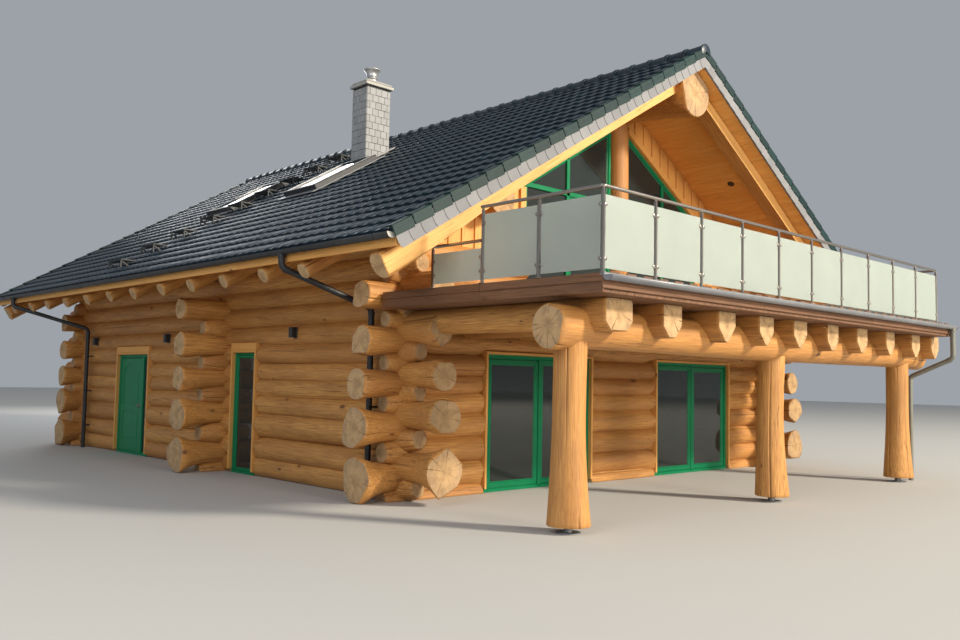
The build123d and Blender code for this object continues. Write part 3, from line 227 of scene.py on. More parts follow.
def lathe(shape, centre, places, radii, axes=(0, 1, 2), segments=20, smooth=True):
    """Adds a surface of revolution.

    Ring i lies places[i] along the last of the axes, and its points are radii[i] (cos a, sin a) along
    the first two.
    """
    a = circle(segments)
    places, radii = np.array(places, float)[:, None], np.array(radii, float)[:, None]
    points = np.empty((len(places), segments, 3))
    for axis, values in zip(axes, (radii * np.cos(a), radii * np.sin(a), places)):
        points[..., axis] = centre[axis] + values
    mirrored = np.linalg.det(np.eye(3)[list(axes)]) < 0
    faces = grid_faces(len(places), segments, True)
    shape.add(points, turned(faces, mirrored != (places[-1, 0] < places[0, 0])), 0, smooth)


def place(origin, x_axis, y_axis, z_axis):
    """4 by 4 matrix with the given axes as columns."""
    m = np.eye(4)
    m[:3, 0], m[:3, 1], m[:3, 2], m[:3, 3] = x_axis, y_axis, z_axis, origin
    return m


def slope_matrix(side, y=0.0, lift=0.0, up=0.0):
    """Frame on a roof deck: local x up the slope from the eave edge, local y along the roof, z out."""
    x_axis = np.array([-side * COS, 0, SIN])
    normal = np.array([side * SIN, 0, COS])
    origin = np.array([side * EAVE, y, at(DECK_OVER, EAVE)]) + x_axis * up + normal * lift
    return place(origin, x_axis, [0, 1, 0], normal)


def waves(s, angle, seed, strength):
    """Smooth uneven swelling of a log: a few sines of its length and angle with seeded phases."""
    r = np.random.default_rng(seed)
    total = 0
    for k, amount in ((1, 1.0), (2, 0.8), (3, 0.5), (5, 0.25)):
        a, b, c = r.uniform(0, 6.28, 3)
        total = total + amount * np.sin(k * angle + a + 1.3 * np.sin(s * r.uniform(0.3, 0.9) + b)) \
            * (0.6 + 0.4 * np.sin(s * r.uniform(0.5, 1.6) + c))
    return strength * total / 1.6


NEAR_END = (0.05, 0.11, 0.18, 0.27, 0.38, 0.52, 0.7)
SHORT_LOG = 1.6
TAPER = 0.03
CRACK_HALF = 0.0055
CAP_RINGS = (1.0, 0.82, 0.64, 0.44, 0.26, 0.1)
CAP_CRACK_DEPTH = 0.02


def log(shape, start, end, radius, start_tip=None, end_tip=None, swell=0.5, seed=1, up=(0, 0, 1), step=0.34,
        segments=30, rough=0.028, flats=(), bevel=0.012, ends=(True, True), lobes=0.05, bow=0.012,
        splits=3, end_splits=4, hewn=0, beak=0.0, sawn=None, shade=0.0):
    """Adds a peeled log between two points.

    radius(s, a) = R(s) (1 + waves), with R(s) easing to the tip radii over the swell length, about an
    axis that bows by a few millimetres and a grain that turns slowly round it. Drying cracks are columns
    of points sunk by depth * sqrt(1 - |s - middle| / half length). flats are (direction, distance) pairs
    in the log's section, hewn is the number of axe cut facets that run out behind each end: points beyond
    a plane are moved back onto it. beak lets each end grow by that share towards one side, and sawn is the
    index of a flat whose faces get the third material. shade darkens the underside's tone as painted shade,
    where the log lies in its own shadow. Caps are rings of the same outline drawn inwards.
    """
    start, end = np.array(start, float), np.array(end, float)
    length, d = np.linalg.norm(end - start), unit(end - start)
    w = unit(np.cross(d, up))
    u = np.cross(w, d)
    fine = np.array([0, bevel, *NEAR_END])
    if length > SHORT_LOG:
        reach = NEAR_END[-1]
        middle = np.linspace(reach, length - reach, max(2, int((length - 2 * reach) / step)))
    else:
        middle = np.array([length / 2])
        fine = fine[fine < length * 0.45]
    s = np.unique(np.concatenate([fine, middle, length - fine]))
    start_tip = radius if start_tip is None else start_tip
    end_tip = radius if end_tip is None else end_tip

    # Cracks as (middle, half length, depth), each with a column of points of its own
    r = np.random.default_rng(seed + 3)
    cracks = [(r.uniform(0, length), r.uniform(0.5, 1.8), r.uniform(0.008, 0.018)) for _ in range(splits)]
    for where, wanted in ((0, ends[0]), (length, ends[1])):
        if wanted:
            cracks += [(where, r.uniform(0.10, 0.45), r.uniform(0.012, 0.028)) for _ in range(end_splits)]
    count = len(cracks)
    turns = (r.permutation(count) + r.uniform(0.2, 0.8, count)) * 2 * math.pi / max(count, 1)
    half_wide = CRACK_HALF / radius
    angle = circle(segments)
    if cracks:
        away = np.abs((angle[:, None] - turns[None] + math.pi) % (2 * math.pi) - math.pi).min(1)
        angle = angle[away > 2.5 * half_wide]
    angle = np.concatenate([angle, turns - half_wide, turns, turns + half_wide])
    owner = np.concatenate([np.full(len(angle) - 2 * count, -1), np.arange(count), np.full(count, -1)])
    order = np.argsort(angle)
    angle, owner = angle[order], owner[order]
    around = len(angle)
    opened = np.zeros((len(s), around))
    depth = np.zeros(around)
    for k, (where, half, deep) in enumerate(cracks):
        opened[:, owner == k] = np.sqrt(np.clip(1 - np.abs(s - where) / half, 0, 1))[:, None]
        depth[owner == k] = deep

    # Rings of points about the bowed axis
    ease = lambda t: np.clip(1 - t, 0, 1) ** 1.7
    size = radius * (1 + TAPER * r.uniform(-1, 1) * (s / length - 0.5))
    size = size + (start_tip - radius) * ease(s / swell) + (end_tip - radius) * ease((length - s) / swell)
    near = np.maximum(ease(s / swell), ease((length - s) / swell))[:, None]
    ring = size[:, None] * (1 + waves(s[:, None], angle[None], seed, rough)
                            + waves(s[:, None] * 0, angle[None], seed + 7, lobes) * near) - opened * depth
    for from_end in (s, length - s):
        lean = -math.pi / 2 + r.uniform(-1.2, 1.2)
        gap = (angle - lean + math.pi) % (2 * math.pi) - math.pi
        share = beak * r.uniform(0.3, 1.0) * ease(from_end / swell)[:, None]
        ring = ring * (1 + share * np.exp(-gap ** 2 / 0.35))
    phase = r.uniform(0, 6.28, 4)
    arc = np.sin(math.pi * s / length)
    axis_y, axis_z = bow * np.sin(s * 0.45 + phase[0]) * arc, bow * np.sin(s * 0.38 + phase[1]) * arc
    bearing = angle[None] + 0.10 * np.sin(s * 0.5 + phase[2])[:, None]
    y = ring * np.cos(bearing) + axis_y[:, None]
    z = ring * np.sin(bearing) + axis_z[:, None]
    cuts = [(fy, fz, np.interp(s, np.linspace(0, length, np.size(distance)), np.atleast_1d(distance)))
            for (fy, fz), distance in flats]
    for from_end, tip in ((s, start_tip), (length - s, end_tip)):
        for _ in range(hewn):
            facing = r.uniform(0, 2 * math.pi)
            distance = tip * r.uniform(0.80, 0.92) + from_end * r.uniform(0.12, 0.3)
            cuts.append((math.cos(facing), math.sin(facing), distance))
    for fy, fz, distance in cuts:
        over = np.maximum(y * fy + z * fz - distance[:, None], 0)
        y, z = y - over * fy, z - over * fz
    for index in (0, -1):
        y[index] *= 1 - bevel / size[index]
        z[index] *= 1 - bevel / size[index]
    tone = r.uniform(0, 1)
    offset = r.uniform(0, 40)

    def world(s_values, y_values, z_values):
        return start + s_values[..., None] * d + y_values[..., None] * w + z_values[..., None] * u

    # Sides
    sg = np.broadcast_to(s[:, None], y.shape)
    sides = grid_faces(len(s), around, True)[:, ::-1]
    blocks = [sides]
    if sawn is not None:
        fy, fz, distance = cuts[sawn]
        on_plane = (np.abs(y * fy + z * fz - distance[:, None]) < 1e-6).ravel()[sides].all(1)
        blocks = [sides[~on_plane], sides[on_plane]]
    # Painted shade: the tone rises in a band round the underside, where a wall log lies in its own shadow.
    under = np.exp(-((angle - 1.5 * math.pi) / 0.6) ** 2)
    # Crack points carry tone past 1, which the wood material paints as shade inside the crack.
    shape.add(world(sg, y, z), blocks, 0, True, np.stack([sg + offset, y, z], -1),
              (np.minimum(tone + shade * under, 1) + 2 * opened).ravel())
    if sawn is not None:
        shape.mats[-1][:] = 2
        shape.smooth[-1][:] = False

    # Caps, with the end cracks running in from the rim and a star round the heart
    for index, want, into in ((0, ends[0], 1), (-1, ends[1], -1)):
        scales = np.array(CAP_RINGS if want else (1.0, 0.05))
        rows = scales[:, None]
        reach = r.uniform(0.05, 0.6, around)
        split = opened[index][None] * np.clip((rows - reach) / (1 - reach), 0, 1)
        star = (owner >= 0) * r.uniform(-0.1, 0.75, around)
        split = np.maximum(split, np.clip(1.6 * (star - rows), 0, 1) * want)
        yy, zz = y[index] * rows, z[index] * rows
        ss = s[index] + into * CAP_CRACK_DEPTH * split * (rows < 1)
        last = (len(scales) - 1) * around + np.arange(around)
        hub = np.stack([np.full(around, len(scales) * around), last, np.roll(last, -1)], -1)
        faces = [turned(grid_faces(len(scales), around, True), index < 0), turned(hub, index < 0)]
        heart = world(ss[:1, 0], yy[:1, 0] * 0, zz[:1, 0] * 0)
        pts = np.concatenate([world(ss, yy, zz).reshape(-1, 3), heart])
        gr = np.concatenate([np.stack([ss + offset, yy, zz], -1).reshape(-1, 3), [[s[index] + offset, 0, 0]]])
        # End cracks carry tone past 1: painted shade inside the crack.
        shape.add(pts, faces, 1, False, gr, np.append((tone + 2 * split).ravel(), tone))


# ---- materials


def material(name):
    """A new node material, a helper that adds nodes to it, its shader and its links."""
    m = bpy.data.materials.new(name)
    m.use_nodes = True
    nodes, links = m.node_tree.nodes, m.node_tree.links

    def node(kind, settings=None, **inputs):
        """Adds a node; an input is named, or i and its number, and takes a value or a socket."""
        n = nodes.new(kind)
        for key, value in (settings or {}).items():
            setattr(n, key, value)
        for key, value in inputs.items():
            socket = n.inputs[int(key[1:])] if key[0] == "i" and key[1:].isdigit() else n.inputs[key]
            if isinstance(value, bpy.types.NodeSocket):
                links.new(value, socket)
            else:
                socket.default_value = value
        return n

    return m, node, nodes["Principled BSDF"], links


def ramp(node, value, *stops):
    """Colour ramp with (place, colour or grey value) stops."""
    n = node("ShaderNodeValToRGB", Fac=value)
    elements = n.color_ramp.elements
    while len(elements) < len(stops):
        elements.new(0.5)
    for element, (where, colour) in zip(elements, stops):
        element.position = where
        element.color = (*colour, 1) if isinstance(colour, tuple) else (colour, colour, colour, 1)
    return n.outputs["Color"]


def maths(node, operation, a, b=0.0, clamp=False):
    return node("ShaderNodeMath", {"operation": operation, "use_clamp": clamp}, i0=a, i1=b).outputs[0]


def times(node, a, b):
    return maths(node, "MULTIPLY", a, b)


def stretched(node, source, scale):
    return node("ShaderNodeMapping", i0=source, i3=scale).outputs[0]


def noise(node, vector, scale, detail, rough):
    n = node("ShaderNodeTexNoise", Vector=vector, Scale=scale, Detail=detail, Roughness=rough)
    return n.outputs["Fac"]


def attribute(node, name, output):
    return node("ShaderNodeAttribute", {"attribute_name": name}).outputs[output]


def mixed(node, factor, a, b):
    n = node("ShaderNodeMix", {"data_type": "RGBA"})
    for index, value in ((0, factor), (6, a), (7, b)):
        if isinstance(value, bpy.types.NodeSocket):
            n.id_data.links.new(value, n.inputs[index])
        else:
            n.inputs[index].default_value = (*value, 1) if isinstance(value, tuple) else value
    return n.outputs[2]


def bumped(node, links, shader, height, strength, distance):
    b = node("ShaderNodeBump", Height=height, Strength=strength, Distance=distance)
    links.new(b.outputs[0], shader.inputs["Normal"])


def shaded(colour, share):
    return tuple(c * share for c in colour)


CHECK_COLOUR = (0.10, 0.045, 0.018)
KNOT_COLOUR = (0.12, 0.05, 0.018)
# Painted shade inside drying cracks, where the recess lies in shadow.
CRACK_SHADE_COLOUR = (0.035, 0.017, 0.008)
RINGS_PER_METRE = 330.0


def wood(name, light, dark, knots=0.06, rough=0.6, end=False, weather=0.5, checks=0.8):
    """Wood in log coordinates: streaks along the grain, fine checks, knots, weathering, rings on the ends.

    The tone attribute runs from 0 to 1 from log to log, rises on a wall log's underside as painted shade,
    and rises past 1 inside a drying crack, where the material paints shade in the crack.
    """
    m, node, shader, links = material(name)
    grain = attribute(node, "grain", "Vector")
    tone = attribute(node, "tone", "Fac")
    crack = maths(node, "SUBTRACT", tone, 1.1, True)
    tone = maths(node, "MINIMUM", tone, 1.0)
    fine = noise(node, stretched(node, grain, (0.8, 24, 24)), 3.0, 6, 0.65)
    wide = noise(node, stretched(node, grain, (0.45, 3.0, 3.0)), 1.5, 4, 0.55)
    grey_wood = (dark[0] * 0.80, dark[1] * 0.92, dark[2] * 1.35)
    base = mixed(node, ramp(node, fine, (0.32, 0), (0.68, 1)), light, dark)
    base = mixed(node, times(node, tone, 0.62), base, dark)
    patch = ramp(node, wide, (0.40, 0), (0.66, 1))
    base = mixed(node, times(node, patch, weather), base, shaded(dark, 0.62))
    worn = ramp(node, noise(node, stretched(node, grain, (0.3, 2.2, 2.2)), 2.3, 5, 0.6), (0.52, 0), (0.70, 1))
    base = mixed(node, times(node, worn, weather), base, grey_wood)
    if end:
        split = node("ShaderNodeSeparateXYZ", Vector=grain)
        section = node("ShaderNodeCombineXYZ", i0=0.0, i1=split.outputs[1], i2=split.outputs[2]).outputs[0]
        wobble = noise(node, section, 3.0, 3, 0.5)
        far = node("ShaderNodeVectorMath", {"operation": "LENGTH"}, i0=section).outputs["Value"]
        bent = maths(node, "ADD", far, times(node, wobble, 0.05))
        rings = maths(node, "SINE", times(node, bent, RINGS_PER_METRE))
        sawn = noise(node, stretched(node, section, (1, 4, 60)), 2.0, 3, 0.5)
        base = mixed(node, maths(node, "ADD", times(node, rings, 0.16), 0.35), light, dark)
        base = mixed(node, times(node, sawn, 0.35), base, dark)
        base = mixed(node, ramp(node, far, (0.03, 0.35), (0.14, 0.0)), base, shaded(dark, 0.7))
        base = mixed(node, ramp(node, far, (0.12, 0), (0.30, 0.45)), base, grey_wood)
        moved = node("ShaderNodeVectorMath", {"operation": "ADD"}, i0=section, i1=grain).outputs[0]
        stain = ramp(node, noise(node, moved, 4.0, 4, 0.65), (0.46, 0), (0.72, 0.6))
        base = mixed(node, stain, base, shaded(dark, 0.55))
        bumped(node, links, shader, maths(node, "ADD", times(node, rings, 0.12), sawn), 0.35, 0.008)
    else:
        line = noise(node, stretched(node, grain, (0.22, 9.0, 9.0)), 2.2, 3, 0.45)
        line = maths(node, "ABSOLUTE", maths(node, "SUBTRACT", line, 0.5))
        line = ramp(node, line, (0.0, 1), (0.010, 0))
        open_part = noise(node, stretched(node, grain, (0.5, 1.5, 1.5)), 1.1, 2, 0.5)
        line = times(node, line, ramp(node, open_part, (0.46, 0), (0.56, 1)))
        base = mixed(node, times(node, line, checks), base, CHECK_COLOUR)
        cell = node("ShaderNodeTexVoronoi", Vector=stretched(node, grain, (1.3, 3.0, 3.0)), Scale=1.0)
        pick = node("ShaderNodeSeparateColor", Color=cell.outputs["Color"]).outputs[0]
        size = times(node, pick, knots * 1.5)
        spot = maths(node, "LESS_THAN", cell.outputs["Distance"], size)
        halo = maths(node, "LESS_THAN", cell.outputs["Distance"], times(node, size, 1.7))
        base = mixed(node, times(node, halo, 0.35), base, dark)
        base = mixed(node, times(node, spot, 0.8), base, KNOT_COLOUR)
        height = maths(node, "SUBTRACT", maths(node, "ADD", times(node, fine, 0.5), wide), line)
        bumped(node, links, shader, height, 0.5, 0.014)
    # Painted shade inside drying cracks.
    base = mixed(node, crack, base, CRACK_SHADE_COLOUR)
    links.new(base, shader.inputs["Base Color"])
    shader.inputs["Roughness"].default_value = rough
    return m


def painted(name, colour, rough=0.35, metallic=0.0, vary=0.12, scale=6.0, shine=0.5):
    """Paint, glaze or sheet metal with faint cloudy changes of colour and roughness and a fine bump."""
    m, node, shader, links = material(name)
    where = node("ShaderNodeTexCoord").outputs["Object"]
    cloud = noise(node, where, scale, 5, 0.6)
    fine = noise(node, where, scale * 14, 3, 0.6)
    low, high = shaded(colour, 1 - vary), tuple(min(c * (1 + vary), 1) for c in colour)
    links.new(ramp(node, cloud, (0.3, low), (0.7, high)), shader.inputs["Base Color"])
    links.new(ramp(node, fine, (0.3, rough * 0.85), (0.75, rough * 1.25)), shader.inputs["Roughness"])
    shader.inputs["Metallic"].default_value = metallic
    shader.inputs["Specular IOR Level"].default_value = shine
    bumped(node, links, shader, fine, 0.05, 0.002)
    return m


def toned(name, low, high, rough, bump, scale, shine=0.5):
    """Mineral surface whose colour follows each piece's tone, with a grainy bump."""
    m, node, shader, links = material(name)
    tone = attribute(node, "tone", "Fac")
    where = node("ShaderNodeTexCoord").outputs["Object"]
    grainy = noise(node, where, scale, 6, 0.65)
    soft = noise(node, where, scale * 0.12, 3, 0.5)
    share = maths(node, "ADD", times(node, tone, 0.6), times(node, grainy, 0.4))
    base = mixed(node, share, low, high)
    base = mixed(node, ramp(node, soft, (0.45, 0), (0.8, 0.35)), base, shaded(low, 0.7))
    links.new(base, shader.inputs["Base Color"])
    links.new(ramp(node, grainy, (0.3, rough * 0.8), (0.8, min(rough * 1.3, 1))), shader.inputs["Roughness"])
    shader.inputs["Specular IOR Level"].default_value = shine
    bumped(node, links, shader, grainy, bump, 0.004)
    return m


def glassy(name, colour, rough, alpha, transmission):
    """Pane with a faintly cloudy tint."""
    m, node, shader, links = material(name)
    soft = noise(node, node("ShaderNodeTexCoord").outputs["Object"], 2.5, 2, 0.5)
    links.new(ramp(node, soft, (0.3, shaded(colour, 0.94)), (0.7, colour)), shader.inputs["Base Color"])
    for socket, value in (("Roughness", rough), ("Transmission Weight", transmission), ("IOR", 1.45),
                          ("Alpha", alpha)):
        shader.inputs[socket].default_value = value
    return m


LOG = wood("log_side", (0.80, 0.43, 0.12), (0.40, 0.165, 0.042), knots=0.075, weather=0.3)
LOG_END = wood("log_end", (0.72, 0.49, 0.24), (0.36, 0.21, 0.10), rough=0.8, end=True)
# Roof boards seen from below: their own honey colour brightened with painted bounce light, lighter than the
# board material.
SOFFIT_WITH_PAINTED_BOUNCE = wood("soffit_board_with_painted_bounce", (1.0, 0.66, 0.22), (0.78, 0.38, 0.085), knots=0.065, weather=0.10, checks=0.3)
BOARD = wood("board", (0.86, 0.47, 0.14), (0.68, 0.32, 0.075), knots=0.05, weather=0.1, checks=0.2)
SAWN = wood("sawn_face", (0.82, 0.48, 0.16), (0.68, 0.35, 0.10), knots=0.06, weather=0.08, checks=0.3)
WARM_BOARD = wood("warm_board", (0.50, 0.22, 0.065), (0.34, 0.13, 0.035), knots=0.05, weather=0.1, checks=0.2)
DARK_BOARD = wood("deck_board", (0.27, 0.13, 0.06), (0.14, 0.06, 0.025), knots=0.07, weather=0.4)
TILE = toned("glazed_tile", (0.004, 0.012, 0.022), (0.016, 0.038, 0.056), 0.38, 0.06, 18, shine=0.4)
VERGE_TILE = toned("verge_tile", (0.004, 0.020, 0.020), (0.013, 0.046, 0.046), 0.45, 0.06, 14, shine=0.3)
SLATE = toned("slate", (0.30, 0.305, 0.31), (0.40, 0.405, 0.41), 0.6, 0.2, 22, shine=0.3)
VERGE_SLATE = toned("verge_slate", (0.19, 0.195, 0.21), (0.28, 0.285, 0.30), 0.6, 0.15, 22, shine=0.3)
CONCRETE = toned("screed", (0.38, 0.37, 0.35), (0.52, 0.51, 0.49), 0.85, 0.3, 12)
GREEN = painted("green_paint", (0.003, 0.20, 0.080), rough=0.4, vary=0.08, shine=0.22)
DARK_METAL = painted("dark_metal", (0.030, 0.032, 0.036), rough=0.42, metallic=0.3, vary=0.2)
ZINC = painted("zinc", (0.27, 0.28, 0.30), rough=0.45, metallic=0.5, scale=3)
PIPE_GREY = painted("pipe_grey", (0.20, 0.20, 0.17), rough=0.5, metallic=0.2, scale=3)
CAP_SHEET = painted("cap_sheet", (0.44, 0.43, 0.40), rough=0.55, vary=0.1, scale=4)
STEEL = painted("steel", (0.36, 0.33, 0.30), rough=0.32, metallic=1.0, vary=0.06)
BRIGHT_STEEL = painted("bright_steel", (0.60, 0.60, 0.60), rough=0.38, metallic=0.9, vary=0.06)
LAMP_GLASS = painted("lamp_glass", (0.55, 0.54, 0.50), rough=0.5, vary=0.05)
FLOOR_BOARD = painted("floor_boards", (0.55, 0.36, 0.17), rough=0.6, vary=0.15, scale=2)
# Dark base colour on the share of each pane that does not transmit: painted shade for the dim rooms behind
# the glass.
GLASS_WITH_PAINTED_SHADE = glassy("pane", (0.050, 0.064, 0.062), 0.02, alpha=0.94, transmission=0.45)
FROSTED = glassy("frosted_pane", (0.56, 0.64, 0.60), 0.55, alpha=0.97, transmission=0.50)


# ---- log walls

TIMBER = [LOG, LOG_END]
# How far the long logs run past the corner, from the lowest up, and how far the short ones do
SIDE_ENDS = (0.97, 0.97, 0.91, 0.85, 0.87, 0.87)
GABLE_ENDS = (0.80, 0.85, 0.82, 0.76, 0.79, 0.79)
REAR_ENDS = (0.60,) * 6
CROSS_ENDS = (1.02,) * 6
SIDE_SHORT, GABLE_SHORT, CROSS_SHORT = 0.40, 0.35, 0.59
# A long log's end flares most near the ground, and a short one's end is hewn slimmer
FLARE, FLARE_HEIGHT, SHORT_TIP = 0.65, 3, 0.66
# Openings: the lining's gap beside them, the heads, and the wall faces that frames sit in
JAMB = 0.0453
HEAD, HEAD_TOP, LINTEL_TOP = 2.14, 2.1853, 2.3153
LEFT_LINE, RIGHT_LINE = -HALF - 0.09, HALF + 0.09
BACK_LINE, FRONT_LINE = BACK + 0.09, FRONT - 0.09
DOOR = (FRONT + 8.30, FRONT + 9.88)
NARROW = (FRONT + 3.90, FRONT + 4.68)
RIGHT_REAR = (FRONT + 8.30, FRONT + 9.08)
TERRACE_DOORS = ((-2.155, -1, "left"), (2.315, 1, "right"))
TERRACE_HALF = 1.255
TERRACE = [(centre - TERRACE_HALF, centre + TERRACE_HALF) for centre, side, name in TERRACE_DOORS]
BACK_WINDOWS = [(x - 0.55, x + 0.55) for x in (-2.4, 2.4)]
BACK_SILL = 0.9
CHIMNEY = (2.82 - HALF, FRONT + 4.94, 0.61, 0.51, 7.91)  # x, y, width, depth, top
TOP_LOG = 0.24
GLAZED_HALF = 2.49


def course_radius(heights, i):
    """In-wall radius: a quarter of the two rises beside a log plus half the scribed overlap."""
    below = heights[i] - heights[i - 1] if i > 0 else heights[1] - heights[0]
    above = heights[i + 1] - heights[i] if i < len(heights) - 1 else below
    return (below + above) / 4 + OVERLAP / 2


SILL_GABLE = SHORT_Z[9] - course_radius(SHORT_Z, 9)


def wall(shape, along, across, heights, long_reach, short_reach, low, high, holes, seed, count=12,
         notches=(), front_stop=None):
    """Adds the logs of one wall, cut at its holes.

    holes are (start, end, bottom, top) along the wall: a log whose middle lies in a hole stops at its
    sides, and a log that only dips into one is cut flat there. notches are (start, end, side, distance
    from the axis, course), and front_stop is the course that ends at the front wall.
    """
    placed = 0
    for i in range(count):
        z, radius = heights[i], course_radius(heights, i)
        is_long = i % 2 == 1 and z < SHORT_Z[-1]
        tip = radius * (1 + FLARE * max(0.1, 1 - z / FLARE_HEIGHT)) if is_long else radius * SHORT_TIP
        reach = long_reach[i // 2] if is_long else short_reach
        start, end, start_tip, end_tip = low - reach, high + reach, tip, tip
        if along == "y" and i == len(heights) - 1:
            radius = start_tip = end_tip = TOP_LOG
        if front_stop == i:
            start, start_tip = low - radius, radius
        spans = [(start, end)]
        cuts = [notch[:4] for notch in notches if notch[4] == i]
        for a, b, bottom, top in holes:
            if bottom <= z <= top:
                parts = [part for s, e in spans for part in ((s, min(e, a)), (max(s, b), e))]
                spans = [part for part in parts if part[1] - part[0] > 0.02]
            elif z > top and z - radius < top:
                cuts.append((a, b, -1, z - top))
            elif z < bottom and z + radius > bottom:
                cuts.append((a, b, 1, bottom - z))
        for s, e in spans:
            ends = (s == start, e == end)
            points = [(s, across, z), (e, across, z)] if along == "x" else [(across, s, z), (across, e, z)]
            first = len(shape.points)
            # Wall logs get painted shade on their undersides, where they lie in their own shadow.
            log(shape, *points, radius, start_tip if ends[0] else radius, end_tip if ends[1] else radius,
                swell=0.55 if is_long else 0.4, seed=seed + 7 * i + placed,
                flats=[((0, -1), z)] if z < 0.45 else [], bevel=0.014 if any(ends) else 0.004, ends=ends,
                splits=int(2 + (e - s) / 4), hewn=3 if is_long else 1, lobes=0.09,
                beak=0.28 if is_long else 0.05, shade=0.8)
            placed += 1
            for a, b, sign, distance in cuts:
                for where in shape.points[first:]:
                    place_along = where[:, 0 if along == "x" else 1]
                    inside = (place_along > a) & (place_along < b)
                    where[:, 2] -= sign * inside * np.maximum((where[:, 2] - z) * sign - distance, 0)


for name, side, openings, seed, nodes in (
        ("left", -1, (DOOR, NARROW), 100,
         ["left_wall_front", "left_wall_middle", "left_wall_back", "left_wall_upper"]),
        ("right", 1, (NARROW, RIGHT_REAR), 200, ["right_wall"])):
    long_wall = Shape()
    wall(long_wall, "y", side * HALF, LONG_Z, SIDE_ENDS, SIDE_SHORT, FRONT, BACK,
         [(a - JAMB, b + JAMB, -1, LINTEL_TOP) for a, b in openings], seed, front_stop=8,
         notches=[(FRONT - 2, FRONT - 0.24, -1, 0.142, 9)])
    long_wall.build(f"{name}_wall_logs", TIMBER, replaces=nodes, slot="log_wood")
front = Shape()
wall(front, "x", FRONT, SHORT_Z, GABLE_ENDS, GABLE_SHORT, -HALF, HALF,
     [(a - JAMB, b + JAMB, -1, HEAD_TOP) for a, b in TERRACE]
     + [(-GLAZED_HALF, GLAZED_HALF, SILL_GABLE, 9)], 300)
front.build("front_wall_logs", TIMBER, slot="log_wood",
            replaces=["front_wall_left", "front_wall_middle", "front_wall_right", "front_wall_upper"])
back = Shape()
wall(back, "x", BACK, SHORT_Z, REAR_ENDS, GABLE_SHORT, -HALF, HALF,
     [(a - JAMB, b + JAMB, BACK_SILL, HEAD_TOP) for a, b in BACK_WINDOWS], 400)
back.build("back_wall_logs", TIMBER, replaces=["back_wall"], slot="log_wood")
PASSAGE = 1.61
cross = Shape()
wall(cross, "x", CROSS, SHORT_Z, CROSS_ENDS, CROSS_SHORT, -HALF, HALF,
     [(CHIMNEY[0] - 0.01, CHIMNEY[0] + PASSAGE, -1, HEAD),
      (CHIMNEY[0] - 0.01, CHIMNEY[0] + CHIMNEY[2] + 0.01, -1, 9), (-4.85, 4.85, 2.78, 9)], 500, count=10)
cross.build("cross_wall_logs", TIMBER, replaces=["cross_wall"], slot="log_wood")

# ---- roof timbers

PURLIN_X, PURLIN_RADIUS = 3.45, 0.28
PURLIN_Z = at(RAFTER_AXIS - RAFTER_RADIUS * UP, PURLIN_X) - PURLIN_RADIUS * UP + 0.025
roof_logs = Shape()
log(roof_logs, (0, VERGE_FRONT + 0.15, RIDGE_LOG_Z), (0, VERGE_BACK - 0.15, RIDGE_LOG_Z), 0.26, 0.43, 0.27,
    swell=1.5, seed=31, flats=[((SIN, COS), 0.361), ((-SIN, COS), 0.361)], bevel=0.02, segments=48, hewn=2)
for side in (-1, 1):
    log(roof_logs, (side * PURLIN_X, FRONT - 0.48, PURLIN_Z), (side * PURLIN_X, BACK + 0.48, PURLIN_Z),
        PURLIN_RADIUS, seed=33 + side, hewn=2)
roof_logs.build("ridge_and_purlin_logs", TIMBER, replaces=["ridge_and_purlins"], slot="log_wood")


def along_slope(y, height, outer):
    """The two ends of a timber from beside the ridge down to a place near the eave."""
    return [(x, y, at(height, x)) for x in (math.copysign(0.02, outer), outer)]


RAFTER_FOOT = EAVE - 0.13
RAFTERS, RAFTER_PITCH = 12, 1.13
rafters = Shape()
for side in (-1, 1):
    for i in range(RAFTERS):
        outer = RAFTER_FOOT + rng.uniform(-0.03, 0.01)
        size = RAFTER_RADIUS * rng.uniform(0.94, 1.04)
        log(rafters, *along_slope(FRONT + 0.25 + i * RAFTER_PITCH, RAFTER_AXIS, side * outer), size,
            seed=600 + i + 20 * side, flats=[((0, 1), RAFTER_FLAT)], segments=20, bevel=0.008, step=0.7,
            splits=0, end_splits=2)
rafters.build("rafter_logs", TIMBER, replaces=["rafters"], slot="log_wood")

VERGE_FLAT = 0.158
VERGE_DEPTH = (0.06, 0.05, 0.055, 0.075, 0.2)
verge = Shape()
for side in (-1, 1):
    for y, outward in ((VERGE_FRONT + 0.40, -1), (VERGE_BACK - 0.40, 1)):
        facing = -1 if side * outward > 0 else 1
        log(verge, *along_slope(y, DECK_UNDER - VERGE_FLAT * UP, side * RAFTER_FOOT), 0.170,
            seed=640 + side + 3 * outward, rough=0.085, bow=0.02, lobes=0.06, step=0.16, sawn=1,
            flats=[((0, 1), VERGE_FLAT), ((facing, 0), 0.10 if side < 0 else 0.13), ((0, -1), VERGE_DEPTH)])
verge.build("verge_logs", [LOG, LOG_END, SAWN], replaces=["verge_rafters"], slot="log_wood")

posts = Shape()
for y, foot, seed in ((FRONT, SILL_GABLE + SEAT, 51), (BACK - 0.4505, 2.93, 52)):
    log(posts, (0, y, foot), (0, y, RIDGE_LOG_Z - 0.1), 0.215, seed=seed, up=(0, 1, 0))
posts.build("gable_post_logs", TIMBER, replaces=["gable_posts"], slot="log_wood")

# ---- balcony timbers

BEAM_Y, BEAM_Z = FRONT - 3.375, 2.37
beam = Shape()
log(beam, (-HALF - 0.63, BEAM_Y, BEAM_Z), (5.0, BEAM_Y, BEAM_Z), 0.25, 0.262, 0.25, swell=1.2, seed=61,
    bevel=0.018, lobes=0.07, segments=48, rough=0.04, splits=5, end_splits=7, hewn=2, beak=0.12)
beam.build("balcony_beam_log", TIMBER, replaces=["balcony_beam"], slot="log_wood")

